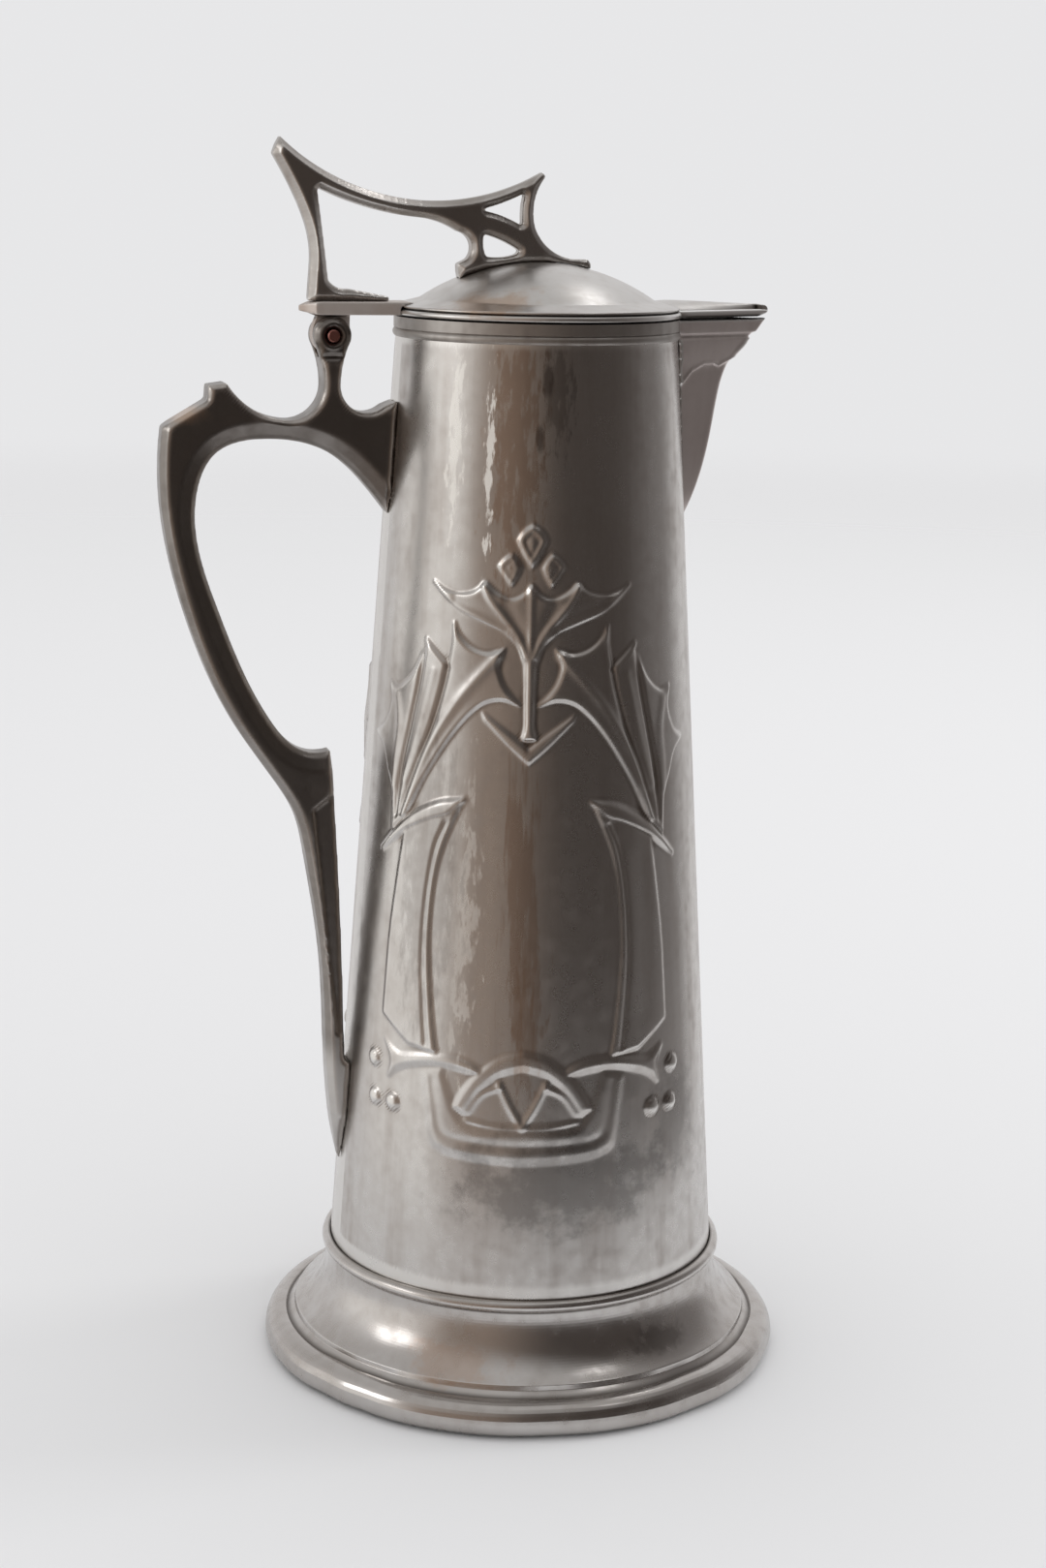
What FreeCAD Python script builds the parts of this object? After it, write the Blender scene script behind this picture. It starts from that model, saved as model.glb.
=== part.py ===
import FreeCAD, Part
import math
import os
import Sketcher

# A pewter serving pitcher with a hinged lid: a tapered barrel on a spreading foot, a beaked spout,
# a flat cast handle that carries the hinge, and a domed lid with an openwork thumb lever.
# Millimetres, +Z up. The origin is where the barrel's axis meets the table.
# The handle lies along -X and the spout along +X, so every outline of theirs is drawn in the XZ plane.

SIZES = [
    ("foot_spread", 20.3, "foot: how far the rounded rim stands out past the barrel"),
    ("foot_rest_inset", 2.8, "foot: distance of the face it stands on from the rim"),
    ("foot_rest_width", 5.0, "foot: width of that face"),
    ("foot_rim_height", 10.0, "foot: top of the rounded rim"),
    ("foot_band_inset", 6.8, "foot: distance of the sloping band above the rim from the rim"),
    ("foot_cove_inset", 9.5, "foot: distance of the hollow cove's lower edge from the rim"),
    ("foot_cove_rise", 2.8, "foot: height of that edge above the rim"),
    ("foot_wall", 2.2, "foot: wall thickness"),
    ("collar_bead", 1.8, "foot: radius of the bead round the barrel's base"),
    ("ledge_width", 6.0, "foot: width of the ledge that carries the barrel"),
    ("seat_height", 31.5, "barrel: height of its lower end"),
    ("mouth_height", 319.4, "barrel: height of its mouth"),
    ("barrel_base_radius", 60.0, "barrel: outer radius at the lower end"),
    ("barrel_top_radius", 41.3, "barrel: outer radius at the mouth"),
    ("barrel_wall", 2.0, "barrel: wall thickness"),
    ("solder_gap", 0.05, "clearance of pieces that are soldered together"),
    ("bottom_gap", 0.2, "bottom plate: clearance inside the barrel"),
    ("bottom_thickness", 2.0, "bottom plate: thickness"),
    ("bottom_rise", 3.0, "bottom plate: how far its middle is domed up"),
    ("band_height", 5.8, "mouth band: height"),
    ("band_thickness", 0.9, "mouth band: thickness at the mouth"),
    ("spout_reach", 29.9, "spout: how far the beak's tip stands out from the barrel"),
    ("spout_half_width", 14.0, "spout: half of its width where it leaves the barrel"),
    ("spout_drop", 62.0, "spout: how far it runs down the barrel"),
    ("spout_wall", 1.6, "spout: wall thickness"),
    ("lip_height", 4.2, "spout: height of the band round its lip"),
    ("lip_thickness", 0.8, "spout: thickness of that band"),
    ("lip_lean", 3.0, "spout: how far that band leans out to the tip"),
    ("lid_gap", 0.3, "lid: clearance above the mouth"),
    ("lid_overhang", 1.4, "lid: how far it stands out past the barrel"),
    ("lid_edge", 2.9, "lid: height of the rim"),
    ("lid_wall", 1.8, "lid: wall thickness"),
    ("lid_seat_width", 4.2, "lid: width of the flat ring that rests on the mouth"),
    ("flange_rise", 1.8, "lid: rise of the flange from the rim to the dome"),
    ("flange_width", 7.9, "lid: width of the flange, from the rim to the dome"),
    ("dome_rise", 10.9, "lid: height of the dome"),
    ("cover_thickness", 2.6, "lid: thickness of the flap over the spout"),
    ("cover_overhang", 0.7, "lid: how far the flap stands out past the spout"),
    ("cover_edge", 1.7, "lid: width of the raised edge round the flap"),
    ("cover_sink", 0.5, "lid: depth of the flap's top inside that edge"),
    ("pin_setback", 19.3, "hinge: distance of the pin from the lid's rim"),
    ("pin_drop", 5.4, "hinge: distance of the pin below the mouth"),
    ("pin_radius", 1.8, "hinge: pin radius"),
    ("pin_proud", 0.4, "hinge: how far the pin's ends stand out of the bosses"),
    ("pin_clearance", 0.05, "hinge: running clearance between pin and lid knuckle"),
    ("knuckle_radius", 5.6, "hinge: outer radius of the knuckles"),
    ("knuckle_width", 4.4, "hinge: width of the lid's knuckle"),
    ("knuckle_gap", 0.3, "hinge: clearance on each side of the lid's knuckle, and above the others"),
    ("boss_radius", 3.8, "hinge: radius of the raised ring round the pin's end"),
    ("boss_height", 0.6, "hinge: height of that ring"),
    ("strap_thickness", 3.8, "hinge strap: thickness"),
    ("strap_width", 12.0, "hinge strap: width over the hinge"),
    ("strap_tail", 9.2, "hinge strap: length past the pin"),
    ("handle_thickness", 12.0, "handle: thickness across"),
    ("handle_reach", 50.2, "handle: distance of the grip's back from the pin"),
    ("handle_width", 10.8, "handle: width of the grip"),
    ("grip_drop", 123.0, "handle: distance of the hook under the grip below the pin"),
    ("handle_edge", 2.0, "handle: bevel along the outer edges"),
    ("handle_bevel_depth", 2.6, "handle: depth of the bevel round the finger hole"),
    ("panel_depth", 1.0, "handle: depth of the sunk panels on the strut"),
    ("leaf_height", 92.0, "handle: top of the leaf that is soldered to the barrel"),
    ("leaf_tip_height", 62.0, "handle: tip of that leaf"),
    ("leaf_length", 18.0, "handle: length over which the leaf runs to a point"),
    ("leaf_edge", 1.6, "handle: thickness of the leaf's edge on the barrel"),
    ("strut_width", 5.2, "handle: width of the strut where the leaf begins"),
    ("lever_height", 46.1, "thumb lever: height of its tip above the strap"),
    ("lever_thickness", 9.0, "thumb lever: thickness across"),
    ("lever_edge", 1.8, "thumb lever: bevel along the thumb's side"),
    ("horn_height", 25.6, "thumb lever: height of the front horn above the dome"),
    ("horn_thickness", 4.4, "thumb lever: thickness across at the front end, to which it tapers"),
]

doc = FreeCAD.newDocument("pitcher")
sheet = doc.addObject("Spreadsheet::Sheet", "sizes")
for row, (alias, value, note) in enumerate(SIZES, start=1):
    sheet.set(f"A{row}", note)
    sheet.set(f"B{row}", str(value))
    sheet.setAlias(f"B{row}", alias)
doc.recompute()


def size(alias):
    return float(sheet.get(alias))


def barrel_radius(height):
    """Outer radius of the barrel at a height, also past its two ends."""
    share = (height - size("seat_height")) / (size("mouth_height") - size("seat_height"))
    return size("barrel_base_radius") + share * (size("barrel_top_radius") - size("barrel_base_radius"))


# Places that several pieces share, worked out from the sizes
seat_z = size("seat_height")
mouth_z = size("mouth_height")
lid_z = mouth_z + size("lid_gap")
lid_radius = size("barrel_top_radius") + size("lid_overhang")
dome_radius = lid_radius - size("flange_width")
flange_z = lid_z + size("lid_edge")
dome_z = flange_z + size("flange_rise")
dome_top_z = dome_z + size("dome_rise")
pin_x = -(lid_radius + size("pin_setback"))
pin_z = mouth_z - size("pin_drop")
strap_z = pin_z + size("knuckle_radius") + size("knuckle_gap")
strap_top_z = strap_z + size("strap_thickness")

# The spout is drawn from this far inside the barrel, and then cut back to its surface
ROOT_DEPTH = 12.0

# The spout's sheet is thicker along its keel than in its flanks, by this factor
KEEL_WALL = 1.3

# The same places as formulas, for sizes that stay bound to the sheet
PIN_X = "-(sizes.barrel_top_radius + sizes.lid_overhang + sizes.pin_setback)"
PIN_Z = "sizes.mouth_height - sizes.pin_drop"
LID_Z = "sizes.mouth_height + sizes.lid_gap"
SLOT_WIDTH = "sizes.knuckle_width + 2 * sizes.knuckle_gap"

# The bevel round the finger hole takes most of the arch and half of the grip
ARCH_BEVEL = "min(sizes.grip_drop * 0.042; sizes.handle_width * 0.48)"


def new_body(name):
    body = doc.addObject("PartDesign::Body", name)
    body.Label = name
    return body


def new_sketch(body, name, role, offset=None):
    """A sketch on one of the body's own planes, raised from it by a formula where one is given."""
    sketch = body.newObject("Sketcher::SketchObject", name)
    plane = next(part for part in body.Origin.OriginFeatures if part.Role == role)
    sketch.AttachmentSupport = (plane, [""])
    sketch.MapMode = "FlatFace"
    if offset:
        sketch.setExpression("AttachmentOffset.Base.z", offset)
    return sketch


def curve(*places):
    """A step of an outline that bends: an arc through one place to the next, or a smooth line."""
    return places


def draw_loop(sketch, start, *steps):
    """A closed outline: each step is a point to go straight to, or a curve; the last line leads home."""
    here = start
    edges = []
    for step in steps + (start,):
        route = (here, *step) if isinstance(step[0], tuple) else (here, step)
        corners = [FreeCAD.Vector(*place) for place in route]
        here = route[-1]
        if corners[0].isEqual(corners[-1], 1e-6):
            continue
        if len(corners) == 2:
            line = Part.LineSegment(*corners)
        elif len(corners) == 3:
            line = Part.Arc(*corners)
        else:
            line = Part.BSplineCurve()
            line.interpolate(corners)
        edge = sketch.addGeometry(line, False)
        begins_here = sketch.getPoint(edge, 1).isEqual(corners[0], 1e-6)
        edges.append((edge, 1 if begins_here else 2))
    for (edge, first_end), (following, next_end) in zip(edges, edges[1:] + edges[:1]):
        sketch.addConstraint(Sketcher.Constraint("Coincident", edge, 3 - first_end, following, next_end))


def draw_circle(sketch, across, up, radius):
    """A circle whose centre and radius are formulas bound to the sheet."""
    place = FreeCAD.Vector(sheet.evalExpression(across), sheet.evalExpression(up))
    upward = FreeCAD.Vector(0, 0, 1)
    circle = sketch.addGeometry(Part.Circle(place, upward, sheet.evalExpression(radius)), False)
    for kind, formula, ends in (
        ("DistanceX", across, (-1, 1, circle, 3)),
        ("DistanceY", up, (-1, 1, circle, 3)),
        ("Radius", radius, (circle,)),
    ):
        number = sketch.addConstraint(Sketcher.Constraint(kind, *ends, sheet.evalExpression(formula)))
        sketch.setExpression(f"Constraints[{number}]", formula)


def turn(body, kind, name, sketch):
    """A Revolution or Groove of a profile right round the barrel's axis."""
    feature = body.newObject(f"PartDesign::{kind}", name)
    feature.Profile = sketch
    feature.ReferenceAxis = (sketch, ["V_Axis"])
    feature.Angle = 360
    doc.recompute()
    return feature


def extrude(body, kind, name, sketch, length, symmetric=False, reverse=False):
    """A Pad or Pocket whose length is a formula bound to the sheet."""
    feature = body.newObject(f"PartDesign::{kind}", name)
    feature.Profile = sketch
    feature.SideType = "Symmetric" if symmetric else "One side"
    feature.Reversed = reverse
    feature.setExpression("Length", length)
    doc.recompute()
    return feature


def cut_by_barrel(body, name):
    """Takes the barrel's full round away, so that a soldered-on piece sits on its outside."""
    sketch = new_sketch(body, f"{name}_outline", "XZ_Plane")
    top = mouth_z + 10
    gap = size("solder_gap")
    draw_loop(sketch, (0, 0), (barrel_radius(0) + gap, 0), (barrel_radius(top) + gap, top), (0, top))
    return turn(body, "Groove", name, sketch)


def on_dome(radius, rise, top_z):
    """The place on a round dome of that radius and rise that lies halfway between its edge and the axis."""
    sphere = (radius**2 + rise**2) / (2 * rise)
    return (radius / 2, top_z - sphere + math.sqrt(sphere**2 - (radius / 2) ** 2))


def lid_outline():
    """Half of the lid's outer profile, from the axis on its underside round to the top of the dome."""
    round_off = size("lid_edge") / 3
    crown = on_dome(dome_radius, size("dome_rise"), dome_top_z)
    return [
        (0, lid_z),
        (lid_radius - round_off / 2, lid_z),
        curve((lid_radius, lid_z + size("lid_edge") / 2), (lid_radius - round_off, flange_z)),
        (dome_radius, dome_z),
        curve(crown, (0, dome_top_z)),
    ]


def cut_by_lid(body, name):
    """Takes the lid's outer form away, so that a soldered-on piece sits on top of it."""
    sketch = new_sketch(body, f"{name}_outline", "XZ_Plane")
    gap = FreeCAD.Vector(0, size("solder_gap"), 0)
    draw_loop(sketch, *lid_outline())
    sketch.AttachmentOffset = FreeCAD.Placement(gap, FreeCAD.Rotation())
    return turn(body, "Groove", name, sketch)


def edges_near(shape, depth, places):
    """Names of the edges in the two faces at +depth and -depth that pass close to the given (x, z) places."""
    names = []
    for number, edge in enumerate(shape.Edges, start=1):
        in_face = all(abs(abs(corner.Y) - depth) < 1e-6 for corner in edge.Vertexes)
        for x, z in places:
            for side in (-depth, depth):
                near = edge.distToShape(Part.Vertex(x, side, z))[0] < 0.02
                if in_face and near:
                    names.append(f"Edge{number}")
    return sorted(set(names))


# The foot: a spreading ring cast hollow underneath, with a rounded rim, a hollow cove and a bead
# that forms the collar round the barrel's base. The barrel stands on the ledge inside the collar.
def make_foot():
    body = new_body("foot")
    bore = size("barrel_base_radius") + size("solder_gap")
    bead = size("collar_bead")
    wall = size("foot_wall")
    ledge = bore - size("ledge_width")
    rim = size("barrel_base_radius") + size("foot_spread")
    rest = rim - size("foot_rest_inset")
    rest_inner = rest - size("foot_rest_width")
    band = rim - size("foot_band_inset")
    rim_z = size("foot_rim_height")
    cove = (rim - size("foot_cove_inset"), rim_z + size("foot_cove_rise"))
    collar = (bore + bead / 3, seat_z)
    hollow = ((collar[0] * 2 + cove[0]) / 3 - wall * 0.27, (collar[1] + cove[1]) / 2 - wall * 0.68)
    sketch = new_sketch(body, "foot_profile", "XZ_Plane")
    draw_loop(
        sketch,
        (rest, 0),
        curve((rim - rim_z * 0.06, rim_z * 0.15), (rim, rim_z * 0.45)),
        curve((rim - rim_z * 0.17, rim_z * 0.82), (band, rim_z)),
        (band - rim_z * 0.04, rim_z * 1.04),
        (cove[0], cove[1] - rim_z * 0.09),
        cove,
        curve(hollow, collar),
        curve((collar[0] + bead, seat_z + bead), (collar[0], seat_z + 2 * bead)),
        (bore, seat_z + 2 * bead),
        (bore, seat_z),
        (ledge, seat_z),
        (ledge, seat_z - wall),
        (collar[0] - 1.5 * wall, seat_z - 1.6 * wall),
        curve((hollow[0] - wall, hollow[1] - wall), (cove[0] - wall, cove[1] - 2 * wall)),
        (rest_inner, rim_z * 0.45),
        (rest_inner, 0),
    )
    turn(body, "Revolution", "foot_ring", sketch)
    return body


# The bottom plate: a thin domed disc inside the barrel's lower end, on the same ledge as the barrel.
def make_bottom_plate():
    body = new_body("bottom_plate")
    edge = size("barrel_base_radius") - size("barrel_wall") - size("bottom_gap")
    thick = size("bottom_thickness")
    rise = size("bottom_rise")
    flat = edge - size("ledge_width")
    sketch = new_sketch(body, "plate_profile", "XZ_Plane")
    draw_loop(
        sketch,
        (edge, seat_z),
        (edge, seat_z + thick),
        (flat, seat_z + thick),
        curve(on_dome(flat, rise, seat_z + thick + rise), (0, seat_z + thick + rise)),
        (0, seat_z + rise),
        curve(on_dome(flat, rise, seat_z + rise), (flat, seat_z)),
    )
    turn(body, "Revolution", "plate", sketch)
    return body


# The barrel: a thin tapered wall, open at the top and cut away in a V behind the spout.
def make_barrel():
    body = new_body("barrel")
    wall = size("barrel_wall")
    sketch = new_sketch(body, "barrel_profile", "XZ_Plane")
    base = size("barrel_base_radius")
    top = size("barrel_top_radius")
    draw_loop(sketch, (base, seat_z), (top, mouth_z), (top - wall, mouth_z), (base - wall, seat_z))
    turn(body, "Revolution", "barrel_wall", sketch)
    way_out = new_sketch(body, "spout_opening_outline", "YZ_Plane")
    half = size("spout_half_width") - 2 * size("spout_wall")
    low = mouth_z - size("spout_drop") * 0.7
    draw_loop(
        way_out,
        (half, mouth_z + 1),
        (half, mouth_z - size("lip_height")),
        (half * 0.2, low),
        curve((0, low - half * 0.2), (-half * 0.2, low)),
        (-half, mouth_z - size("lip_height")),
        (-half, mouth_z + 1),
    )
    extrude(body, "Pocket", "spout_opening", way_out, "2 * sizes.barrel_base_radius", reverse=True)
    return body


# The mouth band: a thin moulded ring soldered round the mouth, which stops at the spout on both sides.
def make_mouth_band():
    body = new_body("mouth_band")
    gap = size("solder_gap")
    outer = size("barrel_top_radius") + size("band_thickness")

    def face(down, proud):
        """A place in shares of the band's height below the mouth and of its thickness out from the barrel."""
        z = mouth_z - size("band_height") * down
        return (barrel_radius(z) + gap + size("band_thickness") * proud, z)

    sketch = new_sketch(body, "band_profile", "XZ_Plane")
    draw_loop(
        sketch,
        face(0, 0),
        face(0, 0.95),
        face(0.55, 0.72),
        face(0.6, 0.36),
        curve(face(0.8, 0.95), face(1, 0.2)),
        face(1, 0),
    )
    turn(body, "Revolution", "band", sketch)
    gate = new_sketch(body, "band_gap_outline", "XY_Plane", "sizes.mouth_height")
    half = size("spout_half_width") + size("lip_thickness") + gap
    draw_loop(gate, (0, half), (2 * outer, half), (2 * outer, -half), (0, -half))
    extrude(body, "Pocket", "band_gap", gate, "2 * sizes.band_height")
    return body


def draw_beak(sketch, radius, half_width, keel, nose):
    """A V across the spout: two straight flanks from the barrel's surface to a keel of radius nose."""
    start = math.sqrt(radius**2 - half_width**2)
    middle = keel - nose
    reach = math.hypot(middle - start, half_width)
    flank = math.sqrt(reach**2 - nose**2)
    slope = math.atan2(-half_width, middle - start) + math.asin(nose / reach)
    touch = (start + flank * math.cos(slope), half_width + flank * math.sin(slope))
    root = start - ROOT_DEPTH
    draw_loop(
        sketch,
        (root, half_width),
        (start, half_width),
        touch,
        curve((keel, 0), (touch[0], -touch[1])),
        (start, -half_width),
        (root, -half_width),
    )


# The spout: a beak of sheet metal, hollowed to an even wall, that runs down the barrel to a point.
# Its keel leans out to the tip, turns in under the lip and swells again before it meets the barrel.
def make_spout():
    body = new_body("spout")
    drop = size("spout_drop")
    wide = size("spout_half_width")
    reach = size("spout_reach")
    stations = [
        # share of the drop, and then as shares of their largest: keel's reach, half width, keel's radius
        (1.0, 0.01, 0.20, 0.086),
        (0.90, 0.12, 0.34, 0.143),
        (0.80, 0.214, 0.46, 0.186),
        (0.60, 0.348, 0.62, 0.229),
        (0.38, 0.455, 0.77, 0.229),
        (0.19, 0.615, 0.89, 0.186),
        (0.10, 0.783, 0.95, 0.143),
        (0.0, 0.985, 1.0, 0.114),
    ]

    def sections(name, inset, chosen):
        made = []
        for number, (share, out, half_width, nose) in enumerate(chosen):
            level = f"sizes.mouth_height - sizes.spout_drop * {share}"
            sketch = new_sketch(body, f"{name}_{number}", "XY_Plane", level)
            radius = barrel_radius(mouth_z - drop * share)
            keel = radius + reach * out - KEEL_WALL * inset
            draw_beak(sketch, radius, wide * half_width - inset, keel, wide * nose)
            made.append(sketch)
        return made

    def loft(kind, name, sketches, ruled):
        feature = body.newObject(f"PartDesign::{kind}", name)
        feature.Profile = sketches[0]
        feature.Sections = sketches[1:]
        feature.Ruled = ruled
        doc.recompute()

    loft("AdditiveLoft", "beak", sections("beak_section", 0, stations), False)
    lip = []
    for name, level, lean in (
        ("lip_low", "sizes.mouth_height - sizes.lip_height", size("lip_lean")),
        ("lip_top", "sizes.mouth_height", 0),
    ):
        sketch = new_sketch(body, name, "XY_Plane", level)
        keel = size("barrel_top_radius") + reach - lean
        draw_beak(sketch, size("barrel_top_radius"), wide + size("lip_thickness"), keel, wide * 0.13)
        lip.append(sketch)
    loft("AdditiveLoft", "lip", lip, True)
    loft("SubtractiveLoft", "hollow", sections("hollow_section", size("spout_wall"), stations[2:]), False)
    cut_by_barrel(body, "barrel_seat")
    return body


# The handle: one flat casting. A forked head holds the hinge pin, a slender post carries it, the grip
# sweeps round the finger hole to a hook, and a strut runs down to a leaf soldered on the barrel.
# The outer edges are bevelled, and a wider bevel follows the finger hole.
def make_handle():
    body = new_body("handle")
    thick = size("handle_thickness")
    knuckle = size("knuckle_radius")
    reach = size("handle_reach")
    drop = size("grip_drop")
    hook_z = pin_z - drop
    leaf_z = size("leaf_height")
    tip_z = size("leaf_tip_height")
    strut_in = -(barrel_radius(leaf_z) + size("leaf_edge"))
    strut_out = strut_in - size("strut_width")
    root = -(size("barrel_top_radius") - 2 * size("barrel_wall"))

    def grip(across, down):
        """A place behind the pin and below it, in shares of the handle's reach and of the grip's drop."""
        return (pin_x - reach * across, pin_z - drop * down)

    def hole(across, down):
        """The same for the finger hole, which is narrower than the reach by the grip's width."""
        return (pin_x - (reach - size("handle_width")) * across, pin_z - drop * down)

    def strut(across, down):
        """A place on the way down from the hook to the leaf, and behind that line in shares of the reach."""
        return (pin_x + (strut_out - pin_x) * down - reach * across, hook_z + (leaf_z - hook_z) * down)

    def post(half_width, down):
        """The post's two edges: half width in shares of the knuckle's radius, down in shares of the drop."""
        return [(pin_x + side * knuckle * half_width, pin_z - drop * down) for side in (-1, 1)]

    head_back, head_front = post(0.9625, 0.0122)
    waist_back, waist_front = post(0.59, 0.061)
    neck_back, neck_front = post(0.446, 0.114)
    shoulder = grip(0.98, 0.212)
    grip_back = curve(
        grip(0.996, 0.358),
        grip(0.861, 0.647),
        grip(0.558, 0.933),
        strut(0.309, 0.1),
        strut(0.204, 0.192),
        strut(0.144, 0.313),
        strut(0.038, 0.652),
        (strut_out, leaf_z),
        (-(barrel_radius(tip_z) + size("leaf_edge") * 0.75), tip_z + 1),
    )
    strut_middle = ((strut_in + pin_x + size("leaf_edge")) / 2, (leaf_z + hook_z) / 2)
    finger_hole = curve(
        hole(0.109, 1.0),
        hole(0.226, 0.991),
        hole(0.449, 0.92),
        hole(0.845, 0.646),
        hole(1.0, 0.374),
        hole(0.86, 0.276),
        hole(0.467, 0.242),
        hole(0.013, 0.276),
        hole(-0.279, 0.361),
        (root, pin_z - drop * 0.502),
    )
    sketch = new_sketch(body, "handle_outline", "XZ_Plane")
    draw_loop(
        sketch,
        head_back,
        curve(waist_back, neck_back),
        curve(grip(0.12, 0.177), grip(0.291, 0.196)),
        curve(grip(0.482, 0.166), grip(0.612, 0.11)),
        grip(0.717, 0.116),
        grip(0.723, 0.15),
        shoulder,
        grip_back,
        (-(barrel_radius(tip_z) - size("barrel_wall")), tip_z - 2),
        (-(barrel_radius(leaf_z) - size("barrel_wall")), leaf_z),
        (strut_in, leaf_z + size("leaf_edge") * 2.5),
        curve(strut_middle, hole(0, 0.995)),
        finger_hole,
        (root, pin_z - drop * 0.134),
        grip(-0.307, 0.165),
        curve(grip(-0.159, 0.178), neck_front),
        curve(waist_front, head_front),
    )
    extrude(body, "Pad", "handle_plate", sketch, "sizes.handle_thickness", symmetric=True)

    bevels = [
        ("outer_bevel", grip_back[1], "sizes.handle_edge", "sizes.handle_edge"),
        ("arch_bevel", finger_hole[3], ARCH_BEVEL, "sizes.handle_bevel_depth"),
    ]
    for name, place, width, depth in bevels:
        base = body.Tip
        bevel = body.newObject("PartDesign::Chamfer", name)
        bevel.Base = (base, edges_near(base.Shape, thick / 2, [place]))
        bevel.ChamferType = "Two distances"
        bevel.setExpression("Size", width)
        bevel.setExpression("Size2", depth)
        doc.recompute()

    for name, side in (("near_panel", 1), ("far_panel", -1)):
        panel = new_sketch(body, f"{name}_outline", "XZ_Plane", f"{side} * sizes.handle_thickness / 2")
        draw_loop(
            panel,
            strut(0.11, 0.172),
            (strut_in - size("strut_width") / 2, leaf_z + (hook_z - leaf_z) * 0.12),
            (strut_in + size("strut_width"), leaf_z + (hook_z - leaf_z) * 0.12),
            strut(-0.1, 0.09),
        )
        extrude(body, "Pocket", name, panel, "sizes.panel_depth", reverse=side < 0)

    head = new_sketch(body, "head_outline", "XZ_Plane")
    draw_circle(head, PIN_X, PIN_Z, "sizes.knuckle_radius")
    extrude(body, "Pad", "head", head, "sizes.handle_thickness", symmetric=True)
    boss = new_sketch(body, "boss_outline", "XZ_Plane")
    draw_circle(boss, PIN_X, PIN_Z, "sizes.boss_radius")
    extrude(body, "Pad", "bosses", boss, "sizes.handle_thickness + 2 * sizes.boss_height", symmetric=True)
    slot = new_sketch(body, "slot_outline", "XZ_Plane")
    left = pin_x - 2 * knuckle
    right = pin_x + 2 * knuckle
    floor = pin_z - knuckle - 2 * size("knuckle_gap")
    draw_loop(slot, (left, floor), (right, floor), (right, strap_z), (left, strap_z))
    extrude(body, "Pocket", "slot", slot, SLOT_WIDTH, symmetric=True)
    bore = new_sketch(body, "bore_outline", "XZ_Plane")
    draw_circle(bore, PIN_X, PIN_Z, "sizes.pin_radius + sizes.solder_gap")
    extrude(body, "Pocket", "pin_bore", bore, "2 * sizes.handle_thickness", symmetric=True)

    point = new_sketch(body, "leaf_point_outline", "YZ_Plane")
    wide = thick / 2 + 1
    point_z = tip_z + size("leaf_length")
    draw_loop(point, (0, tip_z), (wide, point_z), (wide, tip_z - 10), (-wide, tip_z - 10), (-wide, point_z))
    extrude(body, "Pocket", "leaf_point", point, "2 * sizes.barrel_base_radius")
    cut_by_barrel(body, "barrel_seat")
    return body


# The hinge pin: a plain rod held in the fork, which the lid's knuckle turns on.
def make_hinge_pin():
    body = new_body("hinge_pin")
    sketch = new_sketch(body, "pin_outline", "XZ_Plane")
    draw_circle(sketch, PIN_X, PIN_Z, "sizes.pin_radius")
    length = "sizes.handle_thickness + 2 * sizes.boss_height + 2 * sizes.pin_proud"
    rod = extrude(body, "Pad", "pin", sketch, length, symmetric=True)
    bevel = body.newObject("PartDesign::Chamfer", "pin_ends")
    rims = [f"Edge{number}" for number, edge in enumerate(rod.Shape.Edges, start=1) if edge.isClosed()]
    bevel.Base = (rod, rims)
    bevel.setExpression("Size", "sizes.pin_proud * 0.9")
    doc.recompute()
    return body


# The lid: a shallow dome on a flat flange with a rounded rim, hollow underneath, and a flap over the spout
# with a raised edge.
def make_lid():
    body = new_body("lid")
    tip = size("barrel_top_radius") + size("spout_reach") + size("cover_overhang")
    half = size("spout_half_width") + size("lip_thickness") + size("cover_overhang")
    flap = new_sketch(body, "flap_outline", "XY_Plane", LID_Z)
    draw_beak(flap, lid_radius, half, tip, half * 0.14)
    extrude(body, "Pad", "flap", flap, "sizes.cover_thickness")
    edge = size("cover_edge")
    sunk = new_sketch(body, "flap_top_outline", "XY_Plane", f"{LID_Z} + sizes.cover_thickness")
    draw_beak(sunk, lid_radius, half - edge, tip - 2 * edge, half * 0.07)
    extrude(body, "Pocket", "flap_top", sunk, "sizes.cover_sink")
    shell = new_sketch(body, "dome_profile", "XZ_Plane")
    draw_loop(shell, *lid_outline())
    turn(body, "Revolution", "dome", shell)
    hollow = new_sketch(body, "hollow_profile", "XZ_Plane")
    wall = size("lid_wall")
    mouth = lid_radius - size("lid_seat_width")
    under = flange_z - wall
    inner = dome_radius - wall
    crown_z = dome_top_z - wall
    draw_loop(
        hollow,
        (0, lid_z - 1),
        (mouth, lid_z - 1),
        (mouth, under),
        (inner, under),
        curve(on_dome(inner, crown_z - under, crown_z), (0, crown_z)),
    )
    turn(body, "Groove", "hollow", hollow)
    return body


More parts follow.
